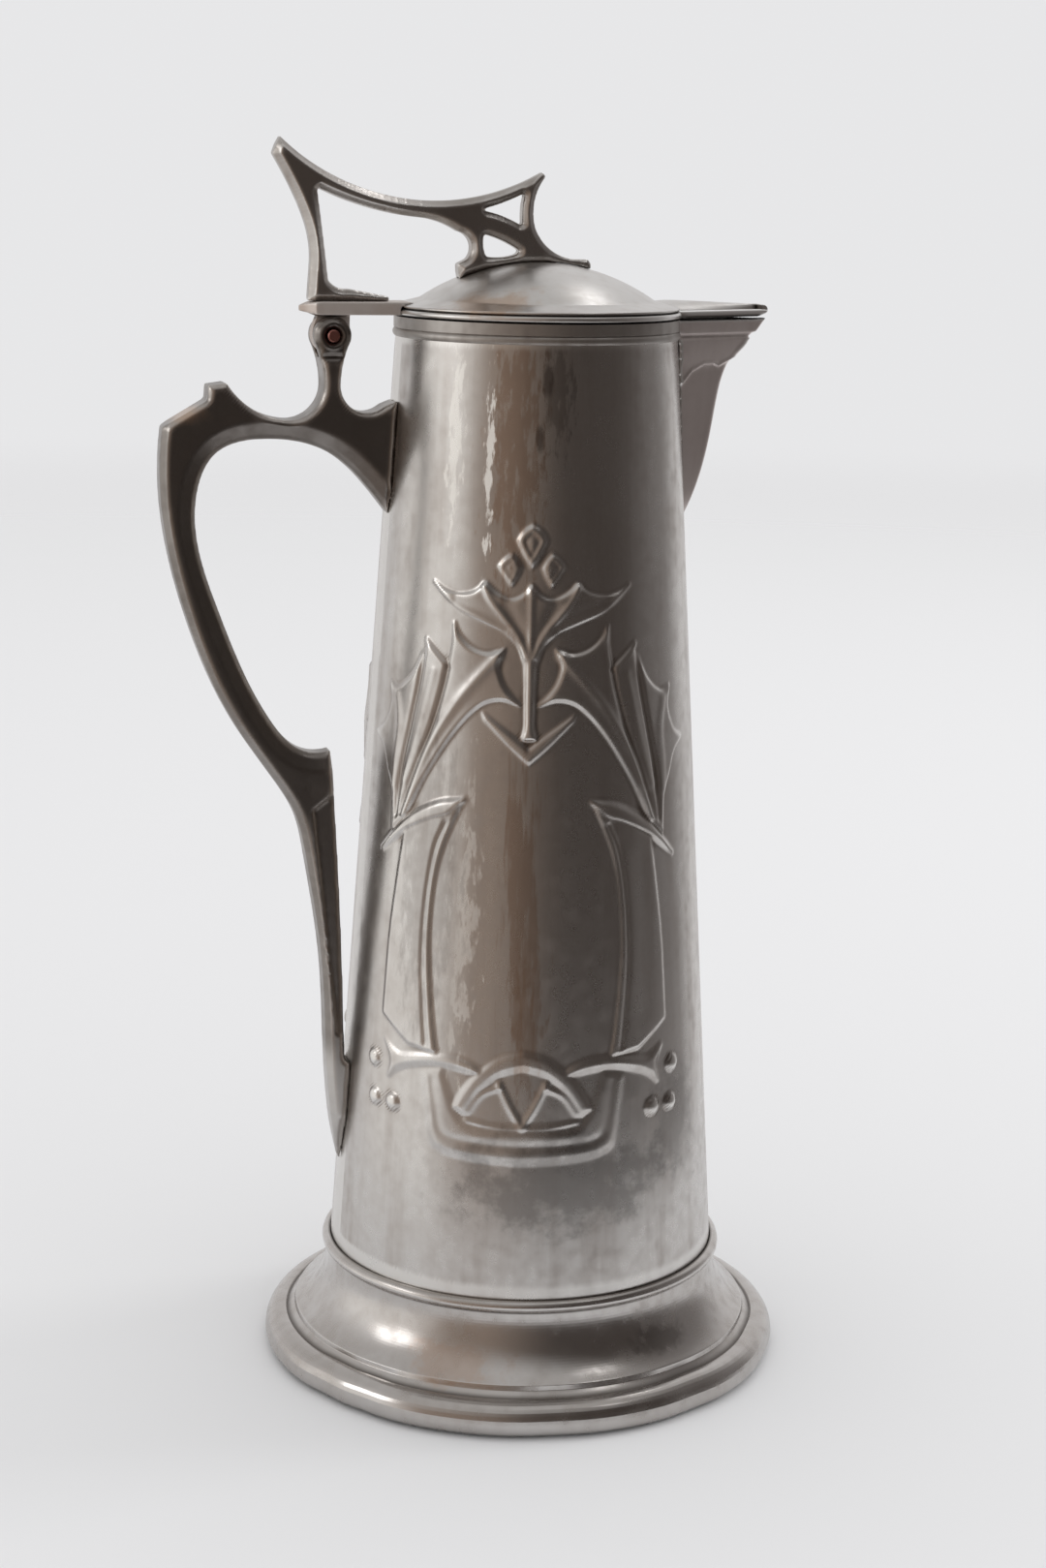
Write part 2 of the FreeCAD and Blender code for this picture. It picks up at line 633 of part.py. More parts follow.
# The hinge strap: a flat tongue soldered on the lid's rim, with a pointed tail behind the hinge
# and the middle knuckle underneath it.
def make_hinge_strap():
    body = new_body("hinge_strap")
    half = size("strap_width") / 2
    tail = pin_x - size("strap_tail")
    point = tail + half * 0.7
    end = -(dome_radius + size("flange_width") / 3)
    plan = new_sketch(body, "strap_outline", "XY_Plane")
    plan.setExpression("AttachmentOffset.Base.z", f"{PIN_Z} + sizes.knuckle_radius + sizes.knuckle_gap")
    draw_loop(plan, (tail, 0), (point, half), (end, half), (end, -half), (point, -half))
    extrude(body, "Pad", "strap", plan, "sizes.strap_thickness")
    cut_by_lid(body, "lid_seat")
    knuckle = new_sketch(body, "knuckle_outline", "XZ_Plane")
    radius = size("knuckle_radius")
    draw_loop(
        knuckle,
        (pin_x + radius, pin_z),
        (pin_x + radius, strap_z),
        (pin_x - radius, strap_z),
        (pin_x - radius, pin_z),
        curve((pin_x, pin_z - radius), (pin_x + radius, pin_z)),
    )
    extrude(body, "Pad", "knuckle", knuckle, "sizes.knuckle_width", symmetric=True)
    bore = new_sketch(body, "bore_outline", "XZ_Plane")
    draw_circle(bore, PIN_X, PIN_Z, "sizes.pin_radius + sizes.pin_clearance")
    extrude(body, "Pocket", "pin_bore", bore, "2 * sizes.strap_width", symmetric=True)
    return body


# The thumb lever: an openwork casting. An upright stands on the strap and flares to the thumb's tip,
# a bar sweeps forward from it, and a horned foot with two openings stands on the dome. The casting is
# thickest at the thumb and tapers to the front.
def make_thumb_lever():
    body = new_body("thumb_lever")
    thick = size("lever_thickness")
    base_z = strap_top_z + size("solder_gap")

    def upright(across, up):
        """A place in shares of the pin's distance from the axis and of the lever's height."""
        return (pin_x * across, base_z + size("lever_height") * up)

    def horn(across, up):
        """A place in shares of the pin's distance from the axis and of the horn's height."""
        return (pin_x * across, dome_top_z + size("horn_height") * up)

    thumb_side = curve(
        upright(1.102, 0.13),
        upright(1.097, 0.317),
        upright(1.158, 0.605),
        upright(1.274, 0.896),
    )
    top_edge = curve(
        upright(0.903, 0.718),
        horn(0.516, 0.668),
        horn(0.242, 0.754),
        horn(-0.008, 1.0),
    )
    sketch = new_sketch(body, "lever_outline", "XZ_Plane")
    draw_loop(
        sketch,
        upright(1.108, 0),
        thumb_side,
        upright(1.239, 1.0),
        top_edge,
        horn(-0.027, 0.957),
        curve(horn(0.032, 0.594), horn(0.021, 0.375)),
        curve(horn(-0.05, 0.148), horn(-0.174, 0.031)),
        horn(-0.242, 0.031),
        horn(-0.256, -0.02),
        horn(-0.256, -0.234),
        horn(0.389, -0.234),
        horn(0.398, -0.031),
        horn(0.353, 0.023),
        curve(horn(0.332, 0.145), horn(0.397, 0.332)),
        curve(horn(0.5, 0.445), horn(0.597, 0.484)),
        curve(upright(0.847, 0.5825), upright(1.069, 0.696)),
        curve(upright(1.039, 0.397), upright(1.015, 0.128)),
        curve(upright(0.984, 0.091), upright(0.915, 0.074)),
        upright(0.726, 0.028),
        upright(0.726, 0),
    )
    extrude(body, "Pad", "lever_plate", sketch, "sizes.lever_thickness", symmetric=True)
    bevel = body.newObject("PartDesign::Chamfer", "thumb_bevel")
    plate = doc.getObject("lever_plate")
    bevel.Base = (plate, edges_near(plate.Shape, thick / 2, [thumb_side[2], top_edge[0]]))
    bevel.setExpression("Size", "sizes.lever_edge")
    doc.recompute()
    openings = new_sketch(body, "openings_outline", "XZ_Plane")
    draw_loop(
        openings,
        horn(0.3, 0.574),
        curve(horn(0.177, 0.66), horn(0.073, 0.773)),
        curve(horn(0.087, 0.594), horn(0.084, 0.395)),
        curve(horn(0.185, 0.512), horn(0.3, 0.574)),
    )
    draw_loop(
        openings,
        horn(0.271, 0.305),
        curve(horn(0.181, 0.234), horn(0.098, 0.125)),
        horn(0.11, 0.086),
        curve(horn(0.185, 0.047), horn(0.26, 0.055)),
        curve(horn(0.274, 0.176), horn(0.271, 0.305)),
    )
    extrude(body, "Pocket", "openings", openings, "2 * sizes.lever_thickness", symmetric=True)
    taper = new_sketch(body, "taper_outline", "XY_Plane", "sizes.mouth_height + 2 * sizes.lever_height")
    rear, front = upright(0.8, 0)[0], upright(-0.3, 0)[0]
    for side in (1, -1):
        draw_loop(
            taper,
            (rear, side * thick / 2),
            (front, side * size("horn_thickness") / 2),
            (front, side * thick),
            (rear, side * thick),
        )
    extrude(body, "Pocket", "taper", taper, "4 * sizes.lever_height")
    cut_by_lid(body, "lid_seat")
    return body


parts = [
    make_foot(),
    make_bottom_plate(),
    make_barrel(),
    make_mouth_band(),
    make_spout(),
    make_handle(),
    make_hinge_pin(),
    make_lid(),
    make_hinge_strap(),
    make_thumb_lever(),
]
doc.recompute()

for item in doc.Objects:
    if "Invalid" in item.State or "Error" in item.State:
        raise RuntimeError(f"{item.Label} failed: {item.State}")
for part in parts:
    if part.Shape.isNull() or not part.Shape.isValid() or len(part.Shape.Solids) != 1:
        raise RuntimeError(f"{part.Label} is not one valid solid: {len(part.Shape.Solids)} solids")

os.makedirs("parts", exist_ok=True)
for part in parts:
    part.Shape.exportStep(f"parts/{part.Label}.step")
    box = part.Shape.BoundBox
    print(f"{part.Label}: {part.Shape.Volume / 1000:.1f} cm3, z {box.ZMin:.1f} to {box.ZMax:.1f}")
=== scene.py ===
import math

import bpy
import numpy as np
from mathutils import Euler, Matrix, Vector
from mathutils.kdtree import KDTree


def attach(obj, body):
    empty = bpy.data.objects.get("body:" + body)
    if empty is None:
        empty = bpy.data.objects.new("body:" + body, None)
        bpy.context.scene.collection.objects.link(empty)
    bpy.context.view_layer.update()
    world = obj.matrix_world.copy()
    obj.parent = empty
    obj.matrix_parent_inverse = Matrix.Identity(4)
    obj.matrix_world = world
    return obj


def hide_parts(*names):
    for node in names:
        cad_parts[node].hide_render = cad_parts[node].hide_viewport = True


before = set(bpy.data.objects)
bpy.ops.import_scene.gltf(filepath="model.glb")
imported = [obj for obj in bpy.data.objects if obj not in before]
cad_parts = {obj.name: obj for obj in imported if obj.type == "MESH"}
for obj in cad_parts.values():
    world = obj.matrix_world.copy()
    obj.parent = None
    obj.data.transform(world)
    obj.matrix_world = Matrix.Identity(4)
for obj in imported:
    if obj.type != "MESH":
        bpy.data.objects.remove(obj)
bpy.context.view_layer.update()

# The stage: a sheet of pale paper in an evenly lit studio. Only the paper close to the pitcher shows in
# the metal, which past its edge mirrors a dim room with a tall window to the left and a pale wall behind.
PAPER_COLOUR = (0.80, 0.80, 0.81, 1)
PAPER_RADIUS = 0.30
FLOOR_SIZE = 40
FLOOR_Z, PAPER_Z = -0.0006, -0.0002
ROOM_DARK = (0.078, 0.066, 0.060, 1)
ROOM_GLOW = (0.36, 0.285, 0.235, 1)
ROOM_RIGHT = (0.24, 0.225, 0.22, 1)
ROOM_BACK = (0.80, 0.79, 0.79, 1)
ROOM_LEFT = (1.05, 1.03, 1.00, 1)
ROOM_TOP = (0.62, 0.61, 0.60, 1)
EVEN_LIGHT = (0.98, 0.98, 0.98, 1)
FADE_START, FADE_END = 0.5, 3.0


def add_node(tree, kind, settings=None, **inputs):
    """A new node with its settings and inputs; an input is a value or another node's output."""
    node = tree.nodes.new(kind)
    for name, value in (settings or {}).items():
        setattr(node, name, value)
    for name, value in inputs.items():
        fill_input(tree, node.inputs[name.replace("_", " ")], value)
    return node


def fill_input(tree, socket, value):
    if isinstance(value, bpy.types.NodeSocket):
        tree.links.new(value, socket)
    else:
        socket.default_value = value


def blend(tree, mask, under, over):
    """Two colours, or outputs that give one, mixed by a mask."""
    mix = add_node(tree, "ShaderNodeMix", {"data_type": "RGBA"}, Factor=mask)
    colours = [socket for socket in mix.inputs if socket.type == "RGBA"]
    for socket, colour in zip(colours, (under, over)):
        fill_input(tree, socket, colour)
    return next(socket for socket in mix.outputs if socket.type == "RGBA")


def ramp(tree, value, start, end, low=0.0, high=1.0):
    """A value turned into a soft step from low to high."""
    node = add_node(tree, "ShaderNodeMapRange", {"interpolation_type": "SMOOTHSTEP"}, Value=value)
    for name, number in (("From Min", start), ("From Max", end), ("To Min", low), ("To Max", high)):
        fill_input(tree, node.inputs[name], number)
    return node.outputs["Result"]


paper = bpy.data.materials.new("pale_paper")
paper.use_nodes = True
paper_shader = paper.node_tree.nodes["Principled BSDF"]
paper_shader.inputs["Base Color"].default_value = PAPER_COLOUR
paper_shader.inputs["Roughness"].default_value = 0.9
paper_shader.inputs["Specular IOR Level"].default_value = 0
bpy.ops.mesh.primitive_plane_add(size=FLOOR_SIZE, location=(0, 0, FLOOR_Z))
floor = bpy.context.object
floor.name = "floor"
floor.visible_glossy = False
bpy.ops.mesh.primitive_circle_add(
    vertices=96, radius=PAPER_RADIUS, fill_type="NGON", location=(0, 0, PAPER_Z)
)
sheet = bpy.context.object
sheet.name = "paper"
sheet.visible_camera = False
sheet.visible_diffuse = False
sheet.visible_shadow = False
sheet.data.materials.append(paper)
fading_paper = paper.copy()
floor.data.materials.append(fading_paper)
fade = fading_paper.node_tree
reach = add_node(fade, "ShaderNodeVectorMath", {"operation": "LENGTH"})
fade.links.new(add_node(fade, "ShaderNodeTexCoord").outputs["Object"], reach.inputs[0])
shown = ramp(fade, reach.outputs["Value"], FADE_START, FADE_END, 1.0, 0.0)
fade.links.new(shown, fade.nodes["Principled BSDF"].inputs["Alpha"])

world = bpy.data.worlds.new("room")
bpy.context.scene.world = world
world.use_nodes = True
sky = world.node_tree
way = add_node(sky, "ShaderNodeTexCoord").outputs["Generated"]
path = add_node(sky, "ShaderNodeLightPath")


def lit_side(direction, start, end):
    """A soft mask of the part of the room that lies in a direction."""
    along = add_node(sky, "ShaderNodeVectorMath", {"operation": "DOT_PRODUCT"})
    along.inputs[1].default_value = Vector(direction).normalized()
    sky.links.new(way, along.inputs[0])
    return ramp(sky, along.outputs["Value"], start, end)


room = ROOM_DARK
for direction, start, end, colour in (
    ((-1, 0.09, 0), -0.25, 0.70, ROOM_GLOW),
    ((0.50, 0.87, 0), -0.20, 0.60, ROOM_RIGHT),
    ((-0.09, 1.00, 0), 0.05, 0.55, ROOM_BACK),
    ((-1, 0.12, 0), 0.72, 0.95, ROOM_LEFT),
    ((-0.28, 0.16, 0.95), 0.42, 0.95, ROOM_TOP),
):
    room = blend(sky, lit_side(direction, start, end), room, colour)
room = blend(sky, path.outputs["Is Diffuse Ray"], room, EVEN_LIGHT)
room = blend(sky, path.outputs["Is Camera Ray"], room, PAPER_COLOUR)
sky.links.new(room, sky.nodes["Background"].inputs["Color"])


LIT_POINT = Vector((0, 0, 0.2))


def soft_light(name, place, width, height, power, in_metal=True):
    """A lamp panel that faces the pitcher; it shows only in the metal, or else lights only the paper."""
    lamp = bpy.data.lights.new(name, "AREA")
    lamp.shape = "RECTANGLE"
    lamp.size, lamp.size_y = width, height
    lamp.energy = power
    panel = bpy.data.objects.new(name, lamp)
    panel.location = place
    panel.rotation_euler = (LIT_POINT - Vector(place)).to_track_quat("-Z", "Y").to_euler()
    panel.visible_diffuse = not in_metal
    panel.visible_glossy = in_metal
    bpy.context.scene.collection.objects.link(panel)


soft_light("window", (-1.40, -0.05, 0.75), 0.60, 0.45, 1.9)
soft_light("high_window", (0.80, 0.90, 1.91), 0.26, 0.18, 1.0)
soft_light("ceiling", (0.75, -0.62, 1.77), 0.34, 0.34, 0.6)
soft_light("right_fill", (3.0, 0.3, 1.0), 1.0, 1.0, 22, in_metal=False)

# The camera stands a little above the lid's height and looks down on the pitcher from the handle's side.
CAMERA_PLACE = (-0.2148, -0.8017, 0.363)
HEADING, PITCH, ROLL = -14.89, 12.55, 1.05
SENSOR_WIDTH, FOCAL_LENGTH = 36, 63.86
lens = bpy.data.cameras.new("camera")
lens.sensor_width = SENSOR_WIDTH
lens.lens = FOCAL_LENGTH
lens.clip_start = 0.01
camera = bpy.data.objects.new("camera", lens)
bpy.context.scene.collection.objects.link(camera)
camera.location = CAMERA_PLACE
turned = Euler((math.radians(90 - PITCH), 0, math.radians(HEADING))).to_matrix()
camera.rotation_euler = (turned @ Matrix.Rotation(math.radians(ROLL), 3, "Z")).to_euler()
bpy.context.scene.camera = camera
bpy.context.scene.view_settings.view_transform = "Standard"

# The foot: a spreading ring of cast pewter, turned on a lathe and soldered round the barrel's base.
# A bead forms its collar; below it a hollow cove runs out to a step, a sloping band and a rounded rim.
MM = 0.001
FOOT_TURNS = 240
DENT_TOP, DENT_FADE = 13.0, 3.0
# Painted shade in the foot's grooves and under its rim, and painted highlights on its edges: radius,
# height, reach and strength.
FOOT_SHADE_AND_HIGHLIGHTS = (
    (79.2, 0.0, 2.6, -0.08),
    (73.3, 9.6, 1.1, -0.09),
    (70.8, 12.8, 0.9, 0.06),
    (60.8, 31.2, 0.8, -0.09),
    (62.4, 33.5, 1.2, 0.06),
    (60.3, 35.1, 0.6, -0.10),
)
RIM_DENTS = ((-152, 6, 0.9), (-141, 5, 0.7), (-97, 7, 0.5), (-63, 6, 0.6), (-30, 8, 0.5))


def arc(start, through, end, count=10):
    """Points on the round line from start through one place to the end, without the start."""
    a, b, c = (complex(*place) for place in (start, through, end))
    w = (c - a) / (b - a)
    middle = (b - a) * (w - abs(w) ** 2) / (2j * w.imag) + a
    first = np.angle(a - middle)
    span = np.angle((b - middle) / (a - middle)) + np.angle((c - middle) / (b - middle))
    turns = first + span * np.linspace(0, 1, count + 1)[1:]
    radius = abs(a - middle)
    return [(middle.real + radius * math.cos(t), middle.imag + radius * math.sin(t)) for t in turns]


def open_for_edit(piece):
    """Leaves only this piece selected, in edit mode, with its whole mesh selected."""
    bpy.ops.object.select_all(action="DESELECT")
    piece.select_set(True)
    bpy.context.view_layer.objects.active = piece
    bpy.ops.object.mode_set(mode="EDIT")
    bpy.ops.mesh.select_all(action="SELECT")


def close_edit(sharp_angle):
    """Closes the seams, turns every face outward and shades the piece smooth up to an angle."""
    bpy.ops.mesh.select_all(action="SELECT")
    bpy.ops.mesh.remove_doubles(threshold=2e-6)
    bpy.ops.mesh.normals_make_consistent(inside=False)
    bpy.ops.object.mode_set(mode="OBJECT")
    bpy.ops.object.shade_smooth_by_angle(angle=math.radians(sharp_angle))


def new_piece(name, places, edges=(), faces=()):
    """A piece from places in millimetres."""
    mesh = bpy.data.meshes.new(name)
    mesh.from_pydata([Vector(place) * MM for place in places], edges, faces)
    piece = bpy.data.objects.new(name, mesh)
    bpy.context.scene.collection.objects.link(piece)
    return piece


def turned_piece(name, profile, turns, round_off):
    """A piece turned from its section of (radius, height), with its corners rounded off.

    A section that starts on the axis also ends there; any other one is closed to a ring."""
    count = len(profile)
    last = count - 1 if profile[0][0] == 0 else count
    piece = new_piece(name, [(r, 0, z) for r, z in profile], [(i, (i + 1) % count) for i in range(last)])
    open_for_edit(piece)
    bpy.ops.mesh.bevel(offset=round_off * MM, segments=3, affect="VERTICES")
    bpy.ops.mesh.select_all(action="SELECT")
    bpy.ops.mesh.spin(steps=turns, angle=2 * math.pi, center=(0, 0, 0), axis=(0, 0, 1))
    close_edit(50)
    return piece


foot_profile = [
    (72.5, 0),
    (77.5, 0),
    *arc((77.5, 0), (79.7, 1.5), (80.25, 4.5), 6),
    *arc((80.25, 4.5), (78.6, 8.2), (73.9, 10.0), 8),
    (73.4, 9.5),
    (71.1, 11.3),
    (70.8, 12.8),
    *arc((70.8, 12.8), (63.44, 20.65), (60.65, 31.2), 24),
    (61.0, 31.4),
    *arc((61.0, 31.4), (62.45, 33.3), (60.65, 35.1), 8),
    (60.05, 35.1),
    (60.05, 31.5),
    (54.05, 31.5),
    (54.05, 29.3),
    (57.35, 28.0),
    *arc((57.35, 28.0), (61.24, 18.45), (68.6, 8.4), 10),
    (72.5, 4.5),
]
foot = turned_piece("foot_ring", foot_profile, FOOT_TURNS, 0.12)


def new_group(name, inputs, outputs):
    """A shader node group with named sockets; gives the group, its given values and its result."""
    group = bpy.data.node_groups.new(name, "ShaderNodeTree")
    for side, sockets in (("INPUT", inputs), ("OUTPUT", outputs)):
        for kind, names in sockets.items():
            for socket in names:
                group.interface.new_socket(socket, in_out=side, socket_type=f"NodeSocket{kind}")
    return group, group.nodes.new("NodeGroupInput").outputs, group.nodes.new("NodeGroupOutput")


def tarnish_group():
    """The skin of old pewter: cloudy tarnish, drips down the height, and a fine cast grain."""
    group, given, result = new_group(
        "tarnish",
        {"Vector": ["Vector"], "Color": ["Metal", "Tarnish"], "Float": ["Spread", "Drips", "Satin"]},
        {"Color": ["Color"], "Float": ["Roughness", "Height"]},
    )

    def noise(scale, detail, stretch=(1, 1, 1)):
        shape = add_node(group, "ShaderNodeMapping", Vector=given["Vector"], Scale=stretch)
        place = shape.outputs["Vector"]
        cloud = add_node(group, "ShaderNodeTexNoise", Vector=place, Scale=scale, Detail=detail)
        return cloud.outputs["Fac"]

    def combine(operation, first, second):
        node = add_node(group, "ShaderNodeMath", {"operation": operation})
        fill_input(group, node.inputs[0], first)
        fill_input(group, node.inputs[1], second)
        return node.outputs["Value"]

    clouds = ramp(group, noise(30, 4), 0.30, 0.72)
    specks = noise(240, 6)
    drips = ramp(group, noise(170, 4, (1, 1, 0.06)), 0.40, 0.75)
    grain = noise(1500, 3)
    overlay = combine("MULTIPLY", clouds, given["Spread"])
    overlay = combine("ADD", overlay, combine("MULTIPLY", drips, given["Drips"]))
    overlay = combine("ADD", overlay, ramp(group, specks, 0.30, 0.80, -0.08, 0.12))
    overlay = combine("MAXIMUM", combine("MINIMUM", overlay, 1), 0)
    colour = blend(group, overlay, given["Metal"], given["Tarnish"])
    group.links.new(colour, result.inputs["Color"])
    rough = ramp(group, overlay, 0.0, 1.0, 0.0, 0.14)
    rough = combine("ADD", rough, ramp(group, specks, 0.4, 0.8, 0.0, 0.06))
    group.links.new(combine("ADD", rough, given["Satin"]), result.inputs["Roughness"])
    height = combine("ADD", combine("MULTIPLY", grain, 0.35), combine("MULTIPLY", specks, 0.65))
    group.links.new(height, result.inputs["Height"])
    return group


tarnish = tarnish_group()
GRAIN_DEPTH = 0.0004


def pewter(name, metal, dull, spread, drips, grain, satin=0.24, bare=1.0):
    """A pewter material, coloured and dulled by its tarnish; bare is the share without a skin."""
    material = bpy.data.materials.new(name)
    material.use_nodes = True
    tree = material.node_tree
    shader = tree.nodes["Principled BSDF"]
    shader.inputs["Metallic"].default_value = bare
    place = add_node(tree, "ShaderNodeTexCoord").outputs["Object"]
    skin = add_node(
        tree, "ShaderNodeGroup", {"node_tree": tarnish},
        Vector=place, Metal=metal, Tarnish=dull, Spread=spread, Drips=drips, Satin=satin,
    )
    height = skin.outputs["Height"]
    bump = add_node(tree, "ShaderNodeBump", Height=height, Strength=grain, Distance=GRAIN_DEPTH)
    tree.links.new(skin.outputs["Color"], shader.inputs["Base Color"])
    tree.links.new(skin.outputs["Roughness"], shader.inputs["Roughness"])
    tree.links.new(bump.outputs["Normal"], shader.inputs["Normal"])
    return material


def paint_over(material, mask, colour):
    """Lays another colour over a material's present one where a mask is light."""
    tree = material.node_tree
    base = tree.nodes["Principled BSDF"].inputs["Base Color"]
    tree.links.new(blend(tree, mask, base.links[0].from_socket, colour), base)


def height_fade_group():
    """A mask that grows from one height to another."""
    group, given, result = new_group(
        "height_fade", {"Vector": ["Vector"], "Float": ["Start", "End", "Strength"]}, {"Float": ["Mask"]}
    )
    height = add_node(group, "ShaderNodeSeparateXYZ", Vector=given["Vector"]).outputs["Z"]
    mask = ramp(group, height, given["Start"], given["End"], 0.0, given["Strength"])
    group.links.new(mask, result.inputs["Mask"])
    return group


height_fade = height_fade_group()


def height_mask(material, start, end, strength):
    """A material's mask that grows from one height to another, in millimetres."""
    tree = material.node_tree
    place = add_node(tree, "ShaderNodeTexCoord").outputs["Object"]
    grown = add_node(
        tree, "ShaderNodeGroup", {"node_tree": height_fade},
        Vector=place, Start=start * MM, End=end * MM, Strength=strength,
    )
    return grown.outputs["Mask"]


def patch_group():
    """A mask of one ragged patch round a place, drawn out into runs by its stretch."""
    group, given, result = new_group(
        "patch",
        {"Vector": ["Vector", "Centre", "Size", "Stretch"], "Float": ["Ragged", "Strength"]},
        {"Float": ["Mask"]},
    )

    def join(kind, operation, first, second):
        node = add_node(group, kind, {"operation": operation})
        fill_input(group, node.inputs[0], first)
        fill_input(group, node.inputs[1], second)
        return node.outputs

    away = join("ShaderNodeVectorMath", "SUBTRACT", given["Vector"], given["Centre"])[0]
    away = join("ShaderNodeVectorMath", "DIVIDE", away, given["Size"])[0]
    far = add_node(group, "ShaderNodeVectorMath", {"operation": "LENGTH"})
    group.links.new(away, far.inputs[0])
    spread = join("ShaderNodeVectorMath", "MULTIPLY", given["Vector"], given["Stretch"])[0]
    cloud = add_node(group, "ShaderNodeTexNoise", Vector=spread, Scale=1, Detail=6, Roughness=0.65)
    uneven = join("ShaderNodeMath", "SUBTRACT", cloud.outputs["Fac"], 0.5)[0]
    ragged = join("ShaderNodeMath", "MULTIPLY", uneven, given["Ragged"])[0]
    reach = join("ShaderNodeMath", "ADD", far.outputs["Value"], ragged)[0]
    mask = join("ShaderNodeMath", "MULTIPLY", ramp(group, reach, 0.95, 0.35), given["Strength"])[0]
    group.links.new(mask, result.inputs["Mask"])
    return group


patch = patch_group()


def overlay(material, colour, place, centre, size, stretch, ragged, strength):
    """Lays a ragged patch of another colour over a material and gives its mask."""
    tree = material.node_tree
    spot = add_node(
        tree, "ShaderNodeGroup", {"node_tree": patch},
        Vector=place, Centre=centre, Size=size, Stretch=stretch, Ragged=ragged, Strength=strength,
    )
    paint_over(material, spot.outputs["Mask"], colour)
    return spot.outputs["Mask"]


def store_painted_light(piece, mark):
    """Stores marks for painted highlights and painted shade, given by place in millimetres; on the lid's
    rolled edges the highlights also stand for rubbed polish.
    """
    marks = [mark(*(vertex.co / MM)) for vertex in piece.data.vertices]
    piece.data.attributes.new("edge", "FLOAT", "POINT").data.foreach_set("value", marks)


MARK_START, MARK_END = 0.02, 0.10


def wear_and_painted_light_group():
    """A lighter colour where the mark is positive and a darker one where it is negative: rubbed edges and
    dark corners on most pieces, painted highlights and painted shade on the foot and the lid.
    """
    group, given, result = new_group(
        "wear_and_painted_light", {"Color": ["Color", "Polished", "Grime"], "Float": ["Mark"]}, {"Color": ["Color"]}
    )
    mark = given["Mark"]
    dark = blend(group, ramp(group, mark, -MARK_START, -MARK_END), given["Color"], given["Grime"])
    worn = blend(group, ramp(group, mark, MARK_START, MARK_END), dark, given["Polished"])
    group.links.new(worn, result.inputs["Color"])
    return group


wear_and_painted_light = wear_and_painted_light_group()


def lay_wear_and_painted_light(material, polish_and_highlight, grime_and_shade):
    """Lays a piece's own marks over a material: edge wear on most pieces, painted highlights and painted
    shade on the foot and the lid.
    """
    tree = material.node_tree
    base = tree.nodes["Principled BSDF"].inputs["Base Color"]
    mark = add_node(tree, "ShaderNodeAttribute", {"attribute_name": "edge"}).outputs["Fac"]
    worn = add_node(
        tree, "ShaderNodeGroup", {"node_tree": wear_and_painted_light},
        Color=base.links[0].from_socket, Polished=polish_and_highlight, Grime=grime_and_shade, Mark=mark,
    )
    tree.links.new(worn.outputs["Color"], base)


# Painted shade and painted highlights on the foot, from its listed places.
def foot_painted_light(x, y, z):
    r = math.hypot(x, y)
    total = 0
    for at_r, at_z, reach, mark in FOOT_SHADE_AND_HIGHLIGHTS:
        total += mark * max(0, 1 - math.hypot(r - at_r, z - at_z) / reach)
    return total


store_painted_light(foot, foot_painted_light)
for vertex in foot.data.vertices:
    x, y, z = vertex.co
    for angle, half_width, depth in RIM_DENTS:
        gone = (math.degrees(math.atan2(y, x)) - angle) / half_width
        low = min(1, max(0, (DENT_TOP - z / MM) / DENT_FADE))
        vertex.co.xy *= 1 - low * depth * MM * math.exp(-(gone**2)) / math.hypot(x, y)
foot_pewter = pewter(
    "foot_pewter", metal=(0.58, 0.56, 0.545, 1), dull=(0.37, 0.33, 0.30, 1),
    spread=0.45, drips=0.05, grain=0.03, satin=0.20,
)
# Painted shade: the foot grows darker towards its bottom.
painted_low_shade = height_mask(foot_pewter, 18, 8, 0.15)
paint_over(foot_pewter, painted_low_shade, (0.33, 0.295, 0.27, 1))
foot_place = add_node(foot_pewter.node_tree, "ShaderNodeTexCoord").outputs["Object"]
# Painted reflections on the cove: a dark one at the front right and a brown one at the front left.
for colour, centre, size, strength in (
    ((0.20, 0.18, 0.165, 1), (0.028, -0.060, 0.019), (0.013, 0.012, 0.006), 0.65),
    ((0.46, 0.33, 0.25, 1), (-0.034, -0.056, 0.016), (0.020, 0.020, 0.007), 0.50),
):
    overlay(foot_pewter, colour, foot_place, centre, size, (120, 120, 120), 2.4, strength)
# The foot's marks lay painted highlights on its edges and painted shade in its grooves and under its rim.
lay_wear_and_painted_light(foot_pewter, (0.72, 0.70, 0.68, 1), (0.10, 0.085, 0.075, 1))
foot.data.materials.append(foot_pewter)
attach(foot, "jug")
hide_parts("foot")

# The bottom plate: a thin domed disc of sheet pewter that closes the barrel.
# It lies on the foot's ledge and is soldered in.
inner_pewter = pewter(
    "inner_pewter", metal=(0.50, 0.48, 0.46, 1), dull=(0.30, 0.27, 0.24, 1),
    spread=0.7, drips=0.0, grain=0.1,
)
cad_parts["bottom_plate"].data.materials.clear()
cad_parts["bottom_plate"].data.materials.append(inner_pewter)

# The barrel: a tapered pewter wall cast in two halves in carved moulds and soldered along the handle
# and the spout. Each half carries the same raised ornament of leaves over two slender pilasters.
BASE_Z, MOUTH_Z = 31.5, 319.4
BASE_RADIUS, TOP_RADIUS = 60.0, 41.3
WALL = 2.0
ORNAMENT_FACES = -105
ORNAMENT_SIDE, ORNAMENT_LOW, ORNAMENT_HIGH = 67.5, 75, 266
LINING_COLUMNS, LINING_ROWS = 61, 25
HALF_START, HALF_END = -75, 105
OPENING_LOW, OPENING_HIGH = 274.0, 315.2
OPENING_HALF_WIDTH = 10.8
LAST_PLAIN = 70
SKIN_RADIUS = 0.05
SKIN_SPACING = 0.42
LINING_COLOUR = (0.40, 0.375, 0.35, 1)


